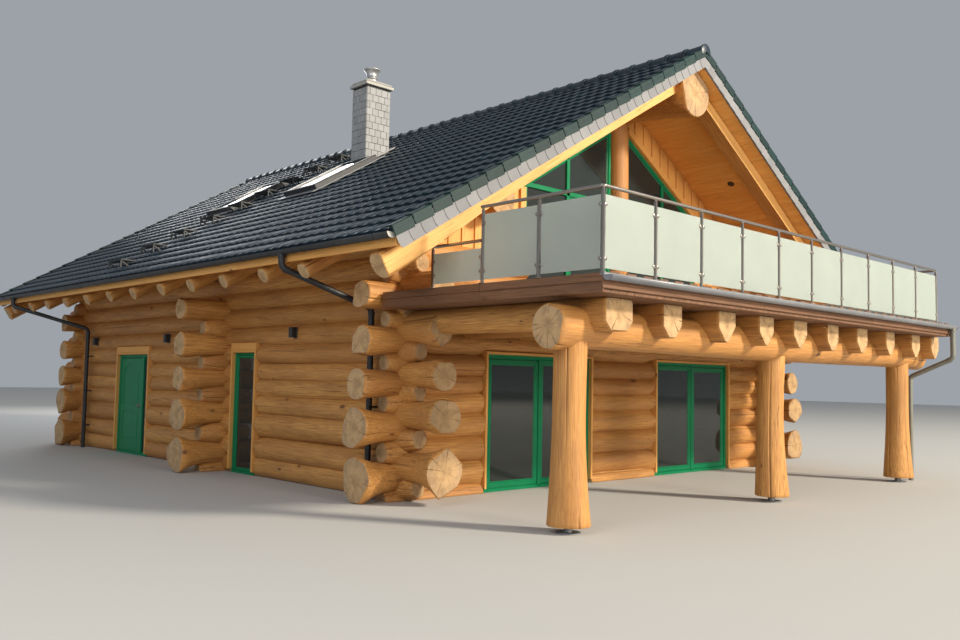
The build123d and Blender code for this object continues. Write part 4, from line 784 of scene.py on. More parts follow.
# Each joist has sawn sides and a keel below: (place from the left wall, half width, keel distance)
JOISTS = ((0.08, 0.262, 0.262), (1.15, 0.205, 0.215), (2.41, 0.215, 0.19), (3.45, 0.205, 0.19),
          (4.45, 0.21, 0.19), (5.51, 0.195, 0.205), (6.58, 0.2, 0.20), (7.71, 0.18, 0.185),
          (8.84, 0.195, 0.20), (9.76, 0.185, 0.195))
JOIST_Z = 2.545
KEEL = math.atan2(0.175, 0.195)
joists = Shape()
for i, (x, wide, deep) in enumerate(JOISTS):
    x -= HALF
    deep += 0.006 * rng.uniform(0, 1)
    sides = [((0, 1), 0.165), ((1, 0), wide), ((-1, 0), wide * 0.97), ((0, -1), 0.215 if i == 0 else 0.25)]
    keel = [((sign * math.cos(KEEL), -math.sin(KEEL)), deep * rng.uniform(0.96, 1.03)) for sign in (-1, 1)]
    back_end = FRONT - (0.10 if i in (0, len(JOISTS) - 1) else 0.06)
    log(joists, (x, FRONT - 3.85, JOIST_Z), (x, back_end, JOIST_Z), 0.19, 0.295, 0.19, swell=1.6,
        seed=70 + i, flats=sides + keel, bevel=0.014, lobes=0.09, rough=0.05, segments=48, splits=2,
        bow=0.004, hewn=1)
joists.build("balcony_joist_logs", TIMBER, replaces=["balcony_joists"], slot="log_wood")

pillars, shoes = Shape(), Shape()
SHOE_PARTS = ((0.0, 0.012, 0.15), (0.012, 0.068, 0.055), (0.068, 0.080, 0.15))
for i, x in enumerate((-0.225 - HALF, 4.45 - HALF, 9.15 - HALF)):
    log(pillars, (x, BEAM_Y, 0.080 + SEAT), (x, BEAM_Y, 2.26), 0.192, 0.255, 0.192, swell=1.3, seed=90 + i,
        up=(0, 1, 0), rough=0.04, lobes=0.06, bow=0.015, segments=48, splits=5, end_splits=2, step=0.12)
    for z0, z1, r in SHOE_PARTS:
        lathe(shoes, (x, BEAM_Y, 0), (z0, z0, z0 + 0.002, z1 - 0.002, z1, z1),
              (0, r - 0.002, r, r, r - 0.002, 0), segments=36, smooth=False)
pillars.build("balcony_post_logs", TIMBER, replaces=["balcony_posts"], slot="log_wood")
shoes.build("post_foot_shoes", ZINC, replaces=["post_shoes"], slot="dark_metal")

# ---- roof covering

ROOF_LOW, ROOF_HIGH = VERGE_FRONT - 0.055, VERGE_BACK + 0.055
SLOPE_LENGTH = EAVE / COS
ROWS = 22
ROW = SLOPE_LENGTH / ROWS
TILE_COLUMNS, TILE_POINTS = 70, 8
TILE_BASE, TILE_ROLL, TILE_LIP = 0.012, 0.017, 0.034


def tile_field(side):
    """Rows of wavy tiles on one slope.

    Height over the deck is h(y, v) = base + roll * wave(y) + lip * (1 - v / row), with
    wave(y) = (0.5 + 0.5 cos(2 pi y / pitch))^1.4 less a narrow groove, and each row ends below in an
    upright lip of the same wave.
    """
    shape = Shape()
    y = np.linspace(ROOF_LOW, ROOF_HIGH, TILE_COLUMNS * TILE_POINTS + 1)
    turn = 2 * math.pi * (y - ROOF_LOW) / (ROOF_HIGH - ROOF_LOW) * TILE_COLUMNS
    wave = (0.5 + 0.5 * np.cos(turn - 0.9)) ** 1.4 - 0.12 * (0.5 + 0.5 * np.cos(turn + 1.9)) ** 6
    deck_frame = slope_matrix(side)
    axis, normal, origin = deck_frame[:3, 0], deck_frame[:3, 2], deck_frame[:3, 3]

    def by_tile(values):
        """One value a tile, repeated for its points."""
        values = np.repeat(values, TILE_POINTS)
        return np.append(values, values[-1])

    for row in range(ROWS):
        v = np.array([0, 0, 0.012, 0.5 * ROW, ROW]) + row * ROW
        top = TILE_BASE + TILE_ROLL * wave + by_tile(rng.uniform(-0.002, 0.002, TILE_COLUMNS))
        heights = np.array([np.maximum(top - 0.016, 0.002), top + TILE_LIP - 0.006, top + TILE_LIP,
                            top + 0.016, top - 0.002])
        points = origin + v[:, None, None] * axis + heights[..., None] * normal \
            + y[None, :, None] * np.array([0, 1, 0])
        faces = turned(grid_faces(len(v), len(y)), side < 0)
        tone = np.tile(by_tile(rng.uniform(0, 1, TILE_COLUMNS)), len(v))
        shape.add(points, faces[len(y) - 1:], 0, True, None, tone)
        shape.add(points[:2], faces[:len(y) - 1], 0, False, None, tone[:2 * len(y)])
    boxes(shape, (0, SLOPE_LENGTH - 0.01), (ROOF_LOW, ROOF_HIGH), (0, 0.010), 0.001, deck_frame, tone=0.2)
    return shape


for side, name in ((-1, "left"), (1, "right")):
    tile_field(side).build(f"{name}_tiles", TILE, replaces=[f"{name}_roof_tiles"], slot="roof_tile")

RIDGE_Z = TILE_OVER + HALF * SLOPE - 0.13 * SLOPE
RIDGE_TILES = 41
RIDGE_LAP = 0.03
RIDGE_RADII = (0.112, 0.138, 0.141, 0.138, 0.124, 0.118)
ridge = Shape()
length = (ROOF_HIGH - ROOF_LOW) / RIDGE_TILES
arc = np.linspace(math.radians(-28), math.radians(208), 17)


def ridge_ring(radius, y):
    """Arch of points round the ridge line."""
    return np.stack([radius * np.cos(arc), np.full(len(arc), y), RIDGE_Z + radius * np.sin(arc)], -1)


for i in range(RIDGE_TILES):
    s = np.array([-RIDGE_LAP, -RIDGE_LAP, 0.0, 0.035, 0.05, length]) + ROOF_LOW + i * length
    if i == 0:
        s[:2] = ROOF_LOW
    rings = [ridge_ring(r, y) for r, y in zip(RIDGE_RADII, s)]
    ridge.add(rings, grid_faces(len(rings), len(arc))[:, ::-1], 0, True, None, rng.uniform(0, 1))
for y, out in ((ROOF_LOW, -1), (ROOF_HIGH, 1)):
    points = np.concatenate([ridge_ring(0.134, y - out * 0.004), ridge_ring(0.09, y + out * 0.012),
                             [[0, y + out * 0.015, RIDGE_Z]]])
    faces = [turned(grid_faces(2, len(arc)), out > 0), turned(fan_faces(34, 17, 33), out > 0)]
    ridge.add(points, faces, 0, True, None, 0.6)
ridge.build("ridge_tiles", TILE, replaces=["ridge_cap"], slot="roof_tile")

SLATE_PITCH, SLATE_DROP, SLATE_BULGE = 0.212, 0.232, 0.045
SLATES = int(SLOPE_LENGTH / SLATE_PITCH)
verge_tiles, slates = Shape(), Shape()
bend = np.linspace(-math.pi / 2, math.pi / 2, 9)
SLATE_POINTS = 11
before = np.arange(SLATE_POINTS)
after = (before + 1) % SLATE_POINTS
SLATE_RIM = np.stack([before, after, after + SLATE_POINTS, before + SLATE_POINTS], -1)
SLATE_CAP = np.array([[i, i + 1, 9 if i >= 4 else 10] for i in range(8)] + [[4, 9, 10]])
for side in (-1, 1):
    for y, out in ((VERGE_FRONT, -1), (VERGE_BACK, 1)):
        face = y + out * 0.040
        m = slope_matrix(side)
        for row in range(ROWS):
            tone = rng.uniform(0, 1)
            tilted = m @ place([row * ROW, 0, 0.008], [1, 0, -0.055], [0, 1, 0], [0.055, 0, 1])
            boxes(verge_tiles, (-0.016, ROW - 0.020), (face - out * 0.13, face + out * 0.012), (0.052, 0.072),
                  0.006, tilted, tone=tone)
            boxes(verge_tiles, (-0.016, ROW - 0.030), (face - out * 0.010, face + out * 0.014),
                  (-0.070, 0.070), 0.006, tilted, tone=tone)
        boxes(slates, (0.035, SLOPE_LENGTH - 0.10), (face - out * 0.0395, face - out * 0.009),
              (-SLATE_DROP, 0), 0.002, m, tone=-0.6)
        # A slate's edge towards the eave is the arc (1 - cos b, sin b), its far edge lies under the next
        for k in range(SLATES):
            u0 = -0.01 + k * (SLOPE_LENGTH - 0.02) / SLATES
            wide = SLATE_PITCH + 0.05 if k < SLATES - 1 else SLOPE_LENGTH - 0.01 - u0
            curve = np.stack([u0 + SLATE_BULGE * (1 - np.cos(bend)), SLATE_DROP / 2 * (np.sin(bend) - 1)], -1)
            outline = np.concatenate([curve, [[u0 + wide, 0], [u0 + wide, -SLATE_DROP]]])
            outline[:, 0] = np.minimum(outline[:, 0], SLOPE_LENGTH - 0.005)
            skew = np.where(outline[:, 0] < u0 + 0.5 * wide, face + out * 0.002, face - out * 0.006)
            sheets = [np.stack([outline[:, 0], skew - out * depth, outline[:, 1]], -1)
                      for depth in (0, 0.004)]
            flip = (out < 0) == (side < 0)
            faces = [turned(SLATE_CAP, flip), turned(SLATE_CAP + SLATE_POINTS, not flip),
                     turned(SLATE_RIM, not flip)]
            slates.add(np.concatenate(sheets) @ m[:3, :3].T + m[:3, 3], faces, 0, False, None,
                       rng.uniform(0, 1))
verge_tiles.build("verge_tiles", VERGE_TILE, slot="roof_tile")
slates.build("verge_slate_strip", VERGE_SLATE, replaces=["verge_slates"], slot="slate")

SOFFIT_BOARDS = 66
soffit = Shape()
start = 0.09 / COS
wide = (EAVE - 0.09) / COS / SOFFIT_BOARDS
for side in (-1, 1):
    u = start + np.arange(SOFFIT_BOARDS) * wide
    upper = u + wide
    upper[-1] -= 0.03
    boxes(soffit, (u, upper), (VERGE_FRONT, VERGE_BACK), (-DECK_THICK, -0.195), 0.006, slope_matrix(side),
          grain_axis=1)
    boxes(soffit, (start, SLOPE_LENGTH - 0.13), (VERGE_FRONT, VERGE_BACK), (-0.196, -0.001), 0.002,
          slope_matrix(side), grain_axis=1)
soffit.build("roof_boards", SOFFIT_WITH_PAINTED_BOUNCE, replaces=["left_roof_deck", "right_roof_deck"], slot="sawn_timber")

EDGE = EAVE - 0.06
FASCIA_TOP = at(DECK_OVER, EDGE)
eaves = Shape()
joints = np.linspace(VERGE_FRONT, VERGE_BACK, 5)
for side in (-1, 1):
    boxes(eaves, (side * (EDGE - 0.03), side * EDGE), (joints[:-1], joints[1:] - 0.002),
          (FASCIA_TOP - 0.20, FASCIA_TOP), grain_axis=1)
eaves.build("eave_boards", BOARD, replaces=["eave_fascias"], slot="sawn_timber")


# ---- gutters and pipes


def trough(shape, start, end, radius, end_mat=0):
    """Half round gutter between two points at its rim height, with closed ends."""
    start, end = np.array(start, float), np.array(end, float)
    length, d = np.linalg.norm(end - start), unit(end - start)
    side, up = np.cross(d, [0, 0, 1]), np.array([0, 0, 1.0])
    a = np.linspace(0, -math.pi, 19)
    outer = np.stack([radius * np.cos(a), radius * np.sin(a)], -1)
    section = np.concatenate([outer, outer[::-1] * (radius - SHEET) / radius])
    stations = np.concatenate([[0], np.linspace(0, length, 7), [length]])
    sections = np.repeat(section[None], len(stations), 0)
    sections[[0, -1]] = 0.5 * (section + section[::-1])
    points = start + stations[:, None, None] * d + sections[..., :1] * side + sections[..., 1:] * up
    shape.add(points, grid_faces(len(stations), len(section), True))
    disc = np.concatenate([outer * 1.06, [[0, 0]]])
    for end_point, out in ((start, -1), (end, 1)):
        for shift, flip in ((out * 0.003, out < 0), (-out * 0.002, out > 0)):
            points = end_point + shift * d + disc[:, :1] * side + disc[:, 1:] * up
            shape.add(points, turned(fan_faces(19, 0, 18), flip), end_mat, False)


def pipe(shape, points, radius, segments=20, mat=0, bend=0.11, collars=()):
    """Round pipe through points, with arcs at its corners, straight runs between them and flat end caps.

    collars are (place from 0 to 1 along the points of its line, rise as a share of the radius, half length).
    """
    points = [np.array(p, float) for p in points]
    line = [points[0]]
    for p, c, n in zip(points[:-2], points[1:-1], points[2:]):
        a, b = unit(p - c), unit(n - c)
        if a @ b < -0.9999:
            line.append(c)
            continue
        half = math.acos(np.clip(a @ b, -1, 1)) / 2
        reach = min(bend / math.tan(half), 0.45 * np.linalg.norm(p - c), 0.45 * np.linalg.norm(n - c))
        centre = c + unit(a + b) * reach / math.cos(half)
        t0, t1 = c + a * reach, c + b * reach
        for t in np.linspace(0, 1, 8):
            mid = (1 - t) * (t0 - centre) + t * (t1 - centre)
            line.append(centre + unit(mid) * np.linalg.norm(t0 - centre))
    line = np.array(line + [points[-1]])
    tangent = unit(np.gradient(line, axis=0))
    normal = np.cross(tangent[0], [0.3, 0.9, 0.2])
    angle = circle(segments)
    rings = []
    for t in tangent:
        normal = unit(normal - t * (normal @ t))
        rings.append(np.cos(angle)[:, None] * normal + np.sin(angle)[:, None] * np.cross(t, normal))
    rings = np.array(rings)
    tube = line[:, None] + rings * radius
    shape.add(tube, grid_faces(len(line), segments, True), mat)
    k = np.arange(segments)
    fan = np.stack([np.full(segments, segments), k, (k + 1) % segments], -1)
    for index, flip in ((0, True), (-1, False)):
        shape.add(np.concatenate([tube[index], line[index][None]]), turned(fan, flip), mat, False)
    for where, extra, half in collars:
        k = int(where * (len(line) - 1))
        shell = [line[k] + tangent[k] * s + rings[k] * radius * f
                 for s, f in ((-half, 1.0), (-half, 1 + extra), (half, 1 + extra), (half, 1.0))]
        shape.add(shell, grid_faces(4, segments, True), mat, False)


SHEET = 0.004
GUTTER_RADIUS = 0.068
GUTTER_X = EDGE + GUTTER_RADIUS
RIM = at(DECK_OVER, EAVE) - 0.006
BRACKET_RADIUS, BRACKET_HALF = 0.0715, 0.014
gutters = Shape()
a = np.linspace(0.15, -math.pi, 15)
hoop = np.stack([np.cos(a), np.sin(a)], -1)
bracket = np.concatenate([hoop * BRACKET_RADIUS, (hoop * (BRACKET_RADIUS - SHEET))[::-1]])
bracket_middle = 0.5 * (bracket + bracket[::-1])
for side in (-1, 1):
    trough(gutters, (side * GUTTER_X, VERGE_FRONT, RIM), (side * GUTTER_X, VERGE_BACK, RIM), GUTTER_RADIUS, 1)
    for y in np.arange(VERGE_FRONT + 0.3, VERGE_BACK, 0.80):
        rows = ((bracket_middle, -BRACKET_HALF), (bracket, -BRACKET_HALF), (bracket, BRACKET_HALF),
                (bracket_middle, BRACKET_HALF))
        points = [np.insert(line + [side * GUTTER_X, RIM], 1, y + shift, 1) for line, shift in rows]
        gutters.add(points, grid_faces(4, len(bracket), True), 0, False)
gutters.build("eave_troughs", [DARK_METAL, CAP_SHEET], replaces=["eave_gutters"], slot="dark_metal")

WALL_PIPE = HALF + 0.31
PIPE_RADIUS = 0.045
pipes = Shape()
for side in (-1, 1):
    for outlet, foot in ((0.60, 0.38), (12.30, 11.40)):
        top = RIM - GUTTER_RADIUS
        route = [(side * GUTTER_X, FRONT + outlet, top), (side * GUTTER_X, FRONT + outlet, top - 0.17),
                 (side * WALL_PIPE, FRONT + foot, 2.75), (side * WALL_PIPE, FRONT + foot, 0.0)]
        pipe(pipes, route, PIPE_RADIUS, collars=[(0.0, 0.22, 0.035), (0.52, 0.12, 0.03), (0.97, 0.12, 0.03)])
        for z in (0.5, 1.3, 2.1):
            boxes(pipes, (side * (WALL_PIPE + 0.05), side * (HALF + 0.19)),
                  (FRONT + foot - 0.055, FRONT + foot - 0.050), (z, z + 0.03), 0.001)
pipes.build("wall_downpipes", DARK_METAL, replaces=["downpipes"], slot="dark_metal")

# ---- gable boards, glazing and windows

GLAZED_TOP, MULLION_HALF = 6.37, 0.23
EDGE_Z = GLAZED_TOP - (GLAZED_HALF - MULLION_HALF) * SLOPE
BOARD_FOOT = SHORT_Z[-1] + course_radius(SHORT_Z, 11)
GABLE_BOARDS = 72
GABLE_WINDOWS = (-1.1, 1.1)


def head_at(x):
    """Top of the gable glazing's opening over the place x."""
    return EDGE_Z + (GLAZED_HALF - abs(x)) * SLOPE


edges = np.linspace(-HALF, HALF, GABLE_BOARDS + 1)
for y, name, out in ((FRONT, "front_gable", -1), (BACK, "back_gable", 1)):
    cladding = Shape()
    for i, (a, b) in enumerate(zip(edges[:-1], edges[1:])):
        top = min(at(DECK_UNDER, a), at(DECK_UNDER, b)) + 0.07
        middle = (a + b) / 2
        parts = [(BOARD_FOOT, top)]
        if y == FRONT and abs(middle) < GLAZED_HALF:
            parts = [(head_at(middle) + 0.05, top)]
        if y == BACK and any(abs(middle - x) < 0.5 for x in GABLE_WINDOWS):
            parts = [(BOARD_FOOT, BOARD_FOOT + 0.25), (BOARD_FOOT + 1.45, top)]
        for low, high in parts:
            if high - low > 0.03:
                boxes(cladding, (a + 0.001, b - 0.001), (y - out * 0.03, y + out * 0.005), (low, high), 0.003,
                      grain_axis=2)
                if i % 2 == 0:
                    boxes(cladding, (a - 0.022, b + 0.022), (y + out * 0.005, y + out * 0.03),
                          (low, high - 0.01), 0.005, grain_axis=2)
    cladding.build(name + "_cladding", BOARD, replaces=[name + "_boards"], slot="sawn_timber")

# A sash's section: (share of its face width from the outside, share of its depth)
PROFILE = np.array([(0.0, 0.0), (0.0, 0.80), (0.10, 1.0), (0.62, 1.0), (0.72, 0.90), (0.80, 0.72),
                    (1.0, 0.66), (1.0, 0.34), (0.80, 0.28), (0.72, 0.10), (0.62, 0.0)])


def in_wall(axis, along, across, up):
    """Points at places along, across and up a wall that runs in x or in y."""
    return np.stack([along, across, up] if axis == "x" else [across, along, up], -1)


def counter_clockwise(outline):
    outline = np.array(outline, float)
    after = np.roll(outline, -1, 0)
    area = (outline[:, 0] * after[:, 1] - after[:, 0] * outline[:, 1]).sum()
    return outline[::-1] if area < 0 else outline


def rect(a, b, low, high):
    return [(a, low), (b, low), (b, high), (a, high)]


def sash(shape, outline, across, axis, face=0.07, depth=0.09):
    """A mitred frame round a convex outline (along the wall, up).

    Its moulded section runs from the outside (t = 0) to the glass edge (t = 1) and is carried round the
    corners along their bisectors.
    """
    outline = counter_clockwise(outline)
    n, m = len(outline), len(PROFILE)
    before, after = np.roll(outline, 1, 0), np.roll(outline, -1, 0)
    a, b = unit(outline - before), unit(after - outline)
    na, nb = np.stack([-a[:, 1], a[:, 0]], -1), np.stack([-b[:, 1], b[:, 0]], -1)
    inward = (na + nb) / (1 + (na * nb).sum(1))[:, None]
    flat = outline[:, None] + inward[:, None] * PROFILE[None, :, :1] * face
    out = np.broadcast_to(across + (PROFILE[:, 1] - 0.5) * depth, (n, m))
    i, j = np.meshgrid(np.arange(n), np.arange(m), indexing="ij")
    quads = np.stack([i * m + j, i * m + (j + 1) % m, (i + 1) % n * m + (j + 1) % m, (i + 1) % n * m + j], -1)
    faces = turned(quads.reshape(-1, 4), axis == "y")
    shape.add(in_wall(axis, flat[..., 0], out, flat[..., 1]), faces, 0, False)


def pane(shape, outline, across, axis, thick=0.024):
    """A flat sheet with chamfered rim on a convex outline (along the wall, up)."""
    outline = counter_clockwise(outline)
    n = len(outline)
    middle = outline.mean(0)
    small = middle + (outline - middle) * (1 - 0.002 / np.maximum(np.abs(outline - middle).max(), 0.05))
    half = thick / 2
    layers = [(small, -half), (outline, -half + 0.002), (outline, half - 0.002), (small, half)]
    points = [in_wall(axis, ring[:, 0], np.full(n, across + shift), ring[:, 1]) for ring, shift in layers]
    rim = np.arange(n)
    lids = np.array([rim, (rim + 3 * n)[::-1]])
    shape.add(points, [turned(grid_faces(4, n, True), axis == "x"), turned(lids, axis == "y")], 0, False)


def bars(shape, axis, across, items, depth=0.09, chamfer=0.006):
    """Straight bars in a wall: items are (start, end, low, high)."""
    start, end, low, high = np.array(items, float).T
    along, through = (start, end), (across - depth / 2, across + depth / 2)
    boxes(shape, *((along, through) if axis == "x" else (through, along)), (low, high), chamfer, tone=0.5)


GABLE_SILL = BOARD_FOOT + 0.25 + SEAT
fixed, glass = Shape(), Shape()
for side in (-1, 1):
    inner, outer = side * MULLION_HALF, side * GLAZED_HALF
    low = SILL_GABLE + SEAT
    sash(fixed, [(inner, low), (outer, low), (outer, EDGE_Z), (inner, GLAZED_TOP)], FRONT, "x", 0.08)
    bars(fixed, "x", FRONT, [sorted((side * 1.36, side * 1.44)) + [low + 0.03, head_at(1.4) - 0.03],
                             sorted((inner + side * 0.03, outer - side * 0.03)) + [4.96, 5.04]])
    if side < 0:
        sash(fixed, rect(-1.35, -0.32, low + 0.08, 4.95), FRONT, "x", 0.06, 0.075)
    a, b = inner + side * 0.08, outer - side * 0.08
    pane(glass, [(a, low + 0.08), (b, low + 0.08), (b, EDGE_Z - 0.06), (a, GLAZED_TOP - 0.09)], FRONT, "x")
WINDOWS = [("y", LEFT_LINE, NARROW, 0.0, HEAD), ("y", RIGHT_LINE, NARROW, 0.0, HEAD),
           ("y", RIGHT_LINE, RIGHT_REAR, 0.0, HEAD)]
WINDOWS += [("x", BACK_LINE, spot, BACK_SILL, HEAD) for spot in BACK_WINDOWS]
WINDOWS += [("x", BACK, (x - 0.5, x + 0.5), GABLE_SILL, GABLE_SILL + 1.2) for x in GABLE_WINDOWS]
for axis, across, (a, b), low, high in WINDOWS:
    sash(fixed, rect(a, b, low, high), across, axis, 0.055)
    sash(fixed, rect(a + 0.05, b - 0.05, low + 0.05, high - 0.05), across, axis, 0.05, 0.07)
    pane(glass, rect(a + 0.07, b - 0.07, low + 0.07, high - 0.07), across, axis)
pane(glass, rect(DOOR[0] + 0.07, DOOR[0] + 0.32, 0.06, 2.07), LEFT_LINE, "y")
for centre, side, name in TERRACE_DOORS:
    a, b = sorted((centre - side * 0.03, centre - side * 1.185))
    pane(glass, rect(a + 0.03, b - 0.03, 0.11, 2.02), FRONT_LINE, "x")
fixed.build("window_sashes", GREEN, replaces=["window_frames"], slot="frame_green")
glass.build("window_panes", GLASS_WITH_PAINTED_SHADE, replaces=["window_glass"], slot="glass")

# ---- doors, linings and casings

LEAF_FOOT, LEAF_HEAD = 0.068, 2.062
LEAF = (DOOR[1] - 0.078 - 1.11, DOOR[1] - 0.078)
HINGES = (0.25, 1.065, 1.85)
HINGE_RADIUS = 0.0074


def hinge_barrels(shape, x, y):
    for z in HINGES:
        pipe(shape, [(x, y, z + lift) for lift in (-0.05, 0, 0.05)], HINGE_RADIUS, 12)


door_frame = Shape()
sash(door_frame, rect(*DOOR, 0.0, HEAD), LEFT_LINE, "y")
bars(door_frame, "y", LEFT_LINE, [(LEAF[0] - 0.068, LEAF[0] - 0.008, 0.02, 2.10)])
door_frame.build("side_door_surround", GREEN, replaces=["side_door_frame"], slot="frame_green")
terrace_frame = Shape()
for centre, side, name in TERRACE_DOORS:
    sash(terrace_frame, rect(centre - TERRACE_HALF, centre + TERRACE_HALF, 0.0, HEAD), FRONT_LINE, "x")
    bars(terrace_frame, "x", FRONT_LINE, [(centre - 0.03, centre + 0.03, 0.02, 2.10)])
    a, b = sorted((centre - side * 0.025, centre - side * 1.19))
    sash(terrace_frame, rect(a, b, 0.065, 2.075), FRONT_LINE, "x", 0.09, 0.065)
    leaf, sheet = Shape(), Shape()
    a, b = sorted((centre + side * 0.038, centre + side * 1.177))
    sash(leaf, rect(a, b, LEAF_FOOT, LEAF_HEAD), FRONT_LINE, "x", 0.095, 0.06)
    hinge_barrels(leaf, centre + side * 1.177, FRONT_LINE + 0.03)
    x, y, z = centre + side * 0.085, FRONT_LINE + 0.03, 1.08
    boxes(leaf, (x - 0.014, x + 0.014), (y, y + 0.006), (0.98, 1.14), 0.002, mat=1)
    pipe(leaf, [(x, y, z), (x, y + 0.045, z), (x + side * 0.115, y + 0.045, z)], 0.009, 14, 1, 0.012)
    leaf.build(f"terrace_leaf_{name}", [GREEN, STEEL], f"terrace_door_{name}", [f"terrace_door_{name}_leaf"],
               "frame_green")
    pane(sheet, rect(a + 0.085, b - 0.085, 0.153, 1.977), FRONT_LINE, "x")
    sheet.build(f"terrace_pane_{name}", GLASS_WITH_PAINTED_SHADE, f"terrace_door_{name}", [f"terrace_door_{name}_glass"],
                "glass")
terrace_frame.build("terrace_surrounds", GREEN, replaces=["terrace_door_frames"], slot="frame_green")

LX = LEFT_LINE
STILE = 0.15
side_leaf = Shape()
boxes(side_leaf, (LX - 0.022, LX + 0.022), LEAF, (LEAF_FOOT, LEAF_HEAD), tone=0.5)
y0, y1 = LEAF[0] + STILE, LEAF[1] - STILE
STILES = ((LEAF[0], y0, LEAF_FOOT, LEAF_HEAD), (y1, LEAF[1], LEAF_FOOT, LEAF_HEAD), (y0, y1, LEAF_FOOT, 0.29),
          (y0, y1, 0.93, 1.07), (y0, y1, 1.93, LEAF_HEAD))
bend = np.linspace(0, math.pi, 17)
arch_y = (y0 + y1) / 2 + (y1 - y0) / 2 * np.cos(bend)
arch_z, lid_z = 1.76 + 0.17 * np.sin(bend), np.full(17, 1.935)
for face in (-1, 1):
    for a, b, low, high in STILES:
        boxes(side_leaf, (LX + face * 0.021, LX + face * 0.030), (a, b), (low, high), tone=0.5)
    for low, high in ((0.34, 0.88), (1.12, 1.72)):
        boxes(side_leaf, (LX + face * 0.020, LX + face * 0.028), (y0 + 0.05, y1 - 0.05), (low, high), 0.008,
              tone=0.5)
    arch, edge, lid = (np.stack([np.full(17, LX + face * depth), arch_y, z], -1)
                       for depth, z in ((0.030, arch_z), (0.021, arch_z), (0.030, lid_z)))
    side_leaf.add(np.stack([arch, lid], 1), turned(grid_faces(17, 2), face > 0), 0, False)
    side_leaf.add(np.stack([arch, edge], 1), turned(grid_faces(17, 2), face < 0))
hinge_barrels(side_leaf, LX + 0.03, LEAF[1])
side_leaf.build("side_door_panels", GREEN, "side_door", ["side_door_leaf"], "frame_green")
KNOB_OUT = np.array([0.0303, 0.0303, 0.036, 0.040, 0.052, 0.058, 0.068, 0.078, 0.090, 0.098, 0.100])
KNOB_RADII = (0.0, 0.026, 0.027, 0.010, 0.010, 0.018, 0.029, 0.030, 0.024, 0.012, 0.0)
knobs = Shape()
for face in (-1, 1):
    lathe(knobs, (LX, LEAF[0] + 0.075, 1.05), face * KNOB_OUT, KNOB_RADII, (1, 2, 0), 24)
knobs.build("side_door_knob_pair", STEEL, "side_door", ["side_door_knobs"], "stainless")

FLOOR_TOP = 0.06
LINING, LINING_DEPTH = 0.045, 0.41
LINED = [("y", -HALF, NARROW), ("y", HALF, NARROW), ("y", HALF, RIGHT_REAR), ("y", -HALF, DOOR)]
LINED += [("x", BACK, spot) for spot in BACK_WINDOWS] + [("x", FRONT, spot) for spot in TERRACE]
linings = Shape()
for axis, across, (a, b) in LINED:
    low = BACK_SILL if across == BACK else FLOOR_TOP + SEAT
    bars(linings, axis, across, [(a - LINING, a - 0.001, low, HEAD), (b + 0.001, b + LINING, low, HEAD)],
         LINING_DEPTH)
    bars(linings, axis, across, [(a - LINING, b + LINING, HEAD + 0.001, HEAD + 0.044)], LINING_DEPTH)
    if axis == "y":
        bars(linings, axis, across, [(a - LINING, b + LINING, HEAD + LINING, HEAD + LINING + 0.13)],
             LINING_DEPTH, 0.008)
linings.build("opening_boards", BOARD, replaces=["opening_linings"], slot="sawn_timber")

CASING = 0.13
TRIM_FACES = np.array([[0, 1, 2, 3], [7, 6, 5, 4], [0, 4, 5, 1], [1, 5, 6, 2], [2, 6, 7, 3], [3, 7, 4, 0]])
ALONG_SLOPE = np.array([[COS, 0, -SIN], [0, 1, 0], [SIN, 0, COS]])
casings = Shape()
for side in (-1, 1):
    inner, outer = side * MULLION_HALF, side * (GLAZED_HALF + CASING)
    base = np.array([[x, head_at(x) + lift] for x, lift in ((inner, 0.002), (outer, 0.002), (outer, 0.16),
                                                            (inner, 0.16))])
    for front_y, back_y, grow in ((FRONT - 0.08, FRONT + 0.08, 0.0), (FRONT - 0.11, FRONT - 0.08, -0.02)):
        ring = base + np.array([[0, -grow * 0.2], [0, -grow * 0.2], [0, grow], [0, grow]])
        points = np.concatenate([np.insert(ring, 1, front_y, 1), np.insert(ring, 1, back_y, 1)])
        casings.add(points, turned(TRIM_FACES, side < 0), 0, False, points @ ALONG_SLOPE + [5, 0.3, 0.4],
                    rng.uniform(0, 0.4))
    x0, x1 = sorted((side * (GLAZED_HALF + 0.002), side * (GLAZED_HALF + CASING)))
    boxes(casings, (x0, x1), (FRONT - 0.08, FRONT + 0.08), (SILL_GABLE + 0.02, head_at(x0) - 0.01), 0.006)
casings.build("gable_trim", BOARD, replaces=["gable_casings"], slot="sawn_timber")

# ---- balcony deck, gutter and railing

DECK_LEFT, DECK_RIGHT = -HALF - 0.60, 9.75 - HALF
DECK_FRONT, DECK_BACK = FRONT - 4.15, FRONT - 0.24 - SEAT
TOP, UNDER = 2.928, 2.71 + SEAT
PLANKS = 72
deck = Shape()
inside = (DECK_LEFT + 0.03, DECK_RIGHT - 0.03)
x = np.linspace(*inside, PLANKS + 1)
boxes(deck, (x[:-1] + 0.001, x[1:] - 0.001), (DECK_FRONT + 0.03, DECK_BACK), (UNDER, UNDER + 0.04), 0.005,
      grain_axis=1)
boxes(deck, inside, (DECK_FRONT + 0.03, DECK_BACK), (UNDER + 0.04, 2.897), 0.002)
boxes(deck, inside, (DECK_FRONT, DECK_BACK), (2.898, 2.926), mat=1)
for x0, x1 in ((DECK_LEFT + 0.002, DECK_LEFT + 0.03), (DECK_RIGHT - 0.03, DECK_RIGHT - 0.002)):
    for a, b in ((FRONT - 2.2, FRONT - 0.25), (DECK_FRONT + 0.01, FRONT - 2.203)):
        boxes(deck, (x0, x1), (a, b), (UNDER + 0.12, TOP), 0.006, grain_axis=1)
        boxes(deck, (x0 + 0.004, x1 - 0.002), (a, b), (UNDER, UNDER + 0.118), 0.006, grain_axis=1)
thirds = np.linspace(DECK_LEFT, DECK_RIGHT, 4)
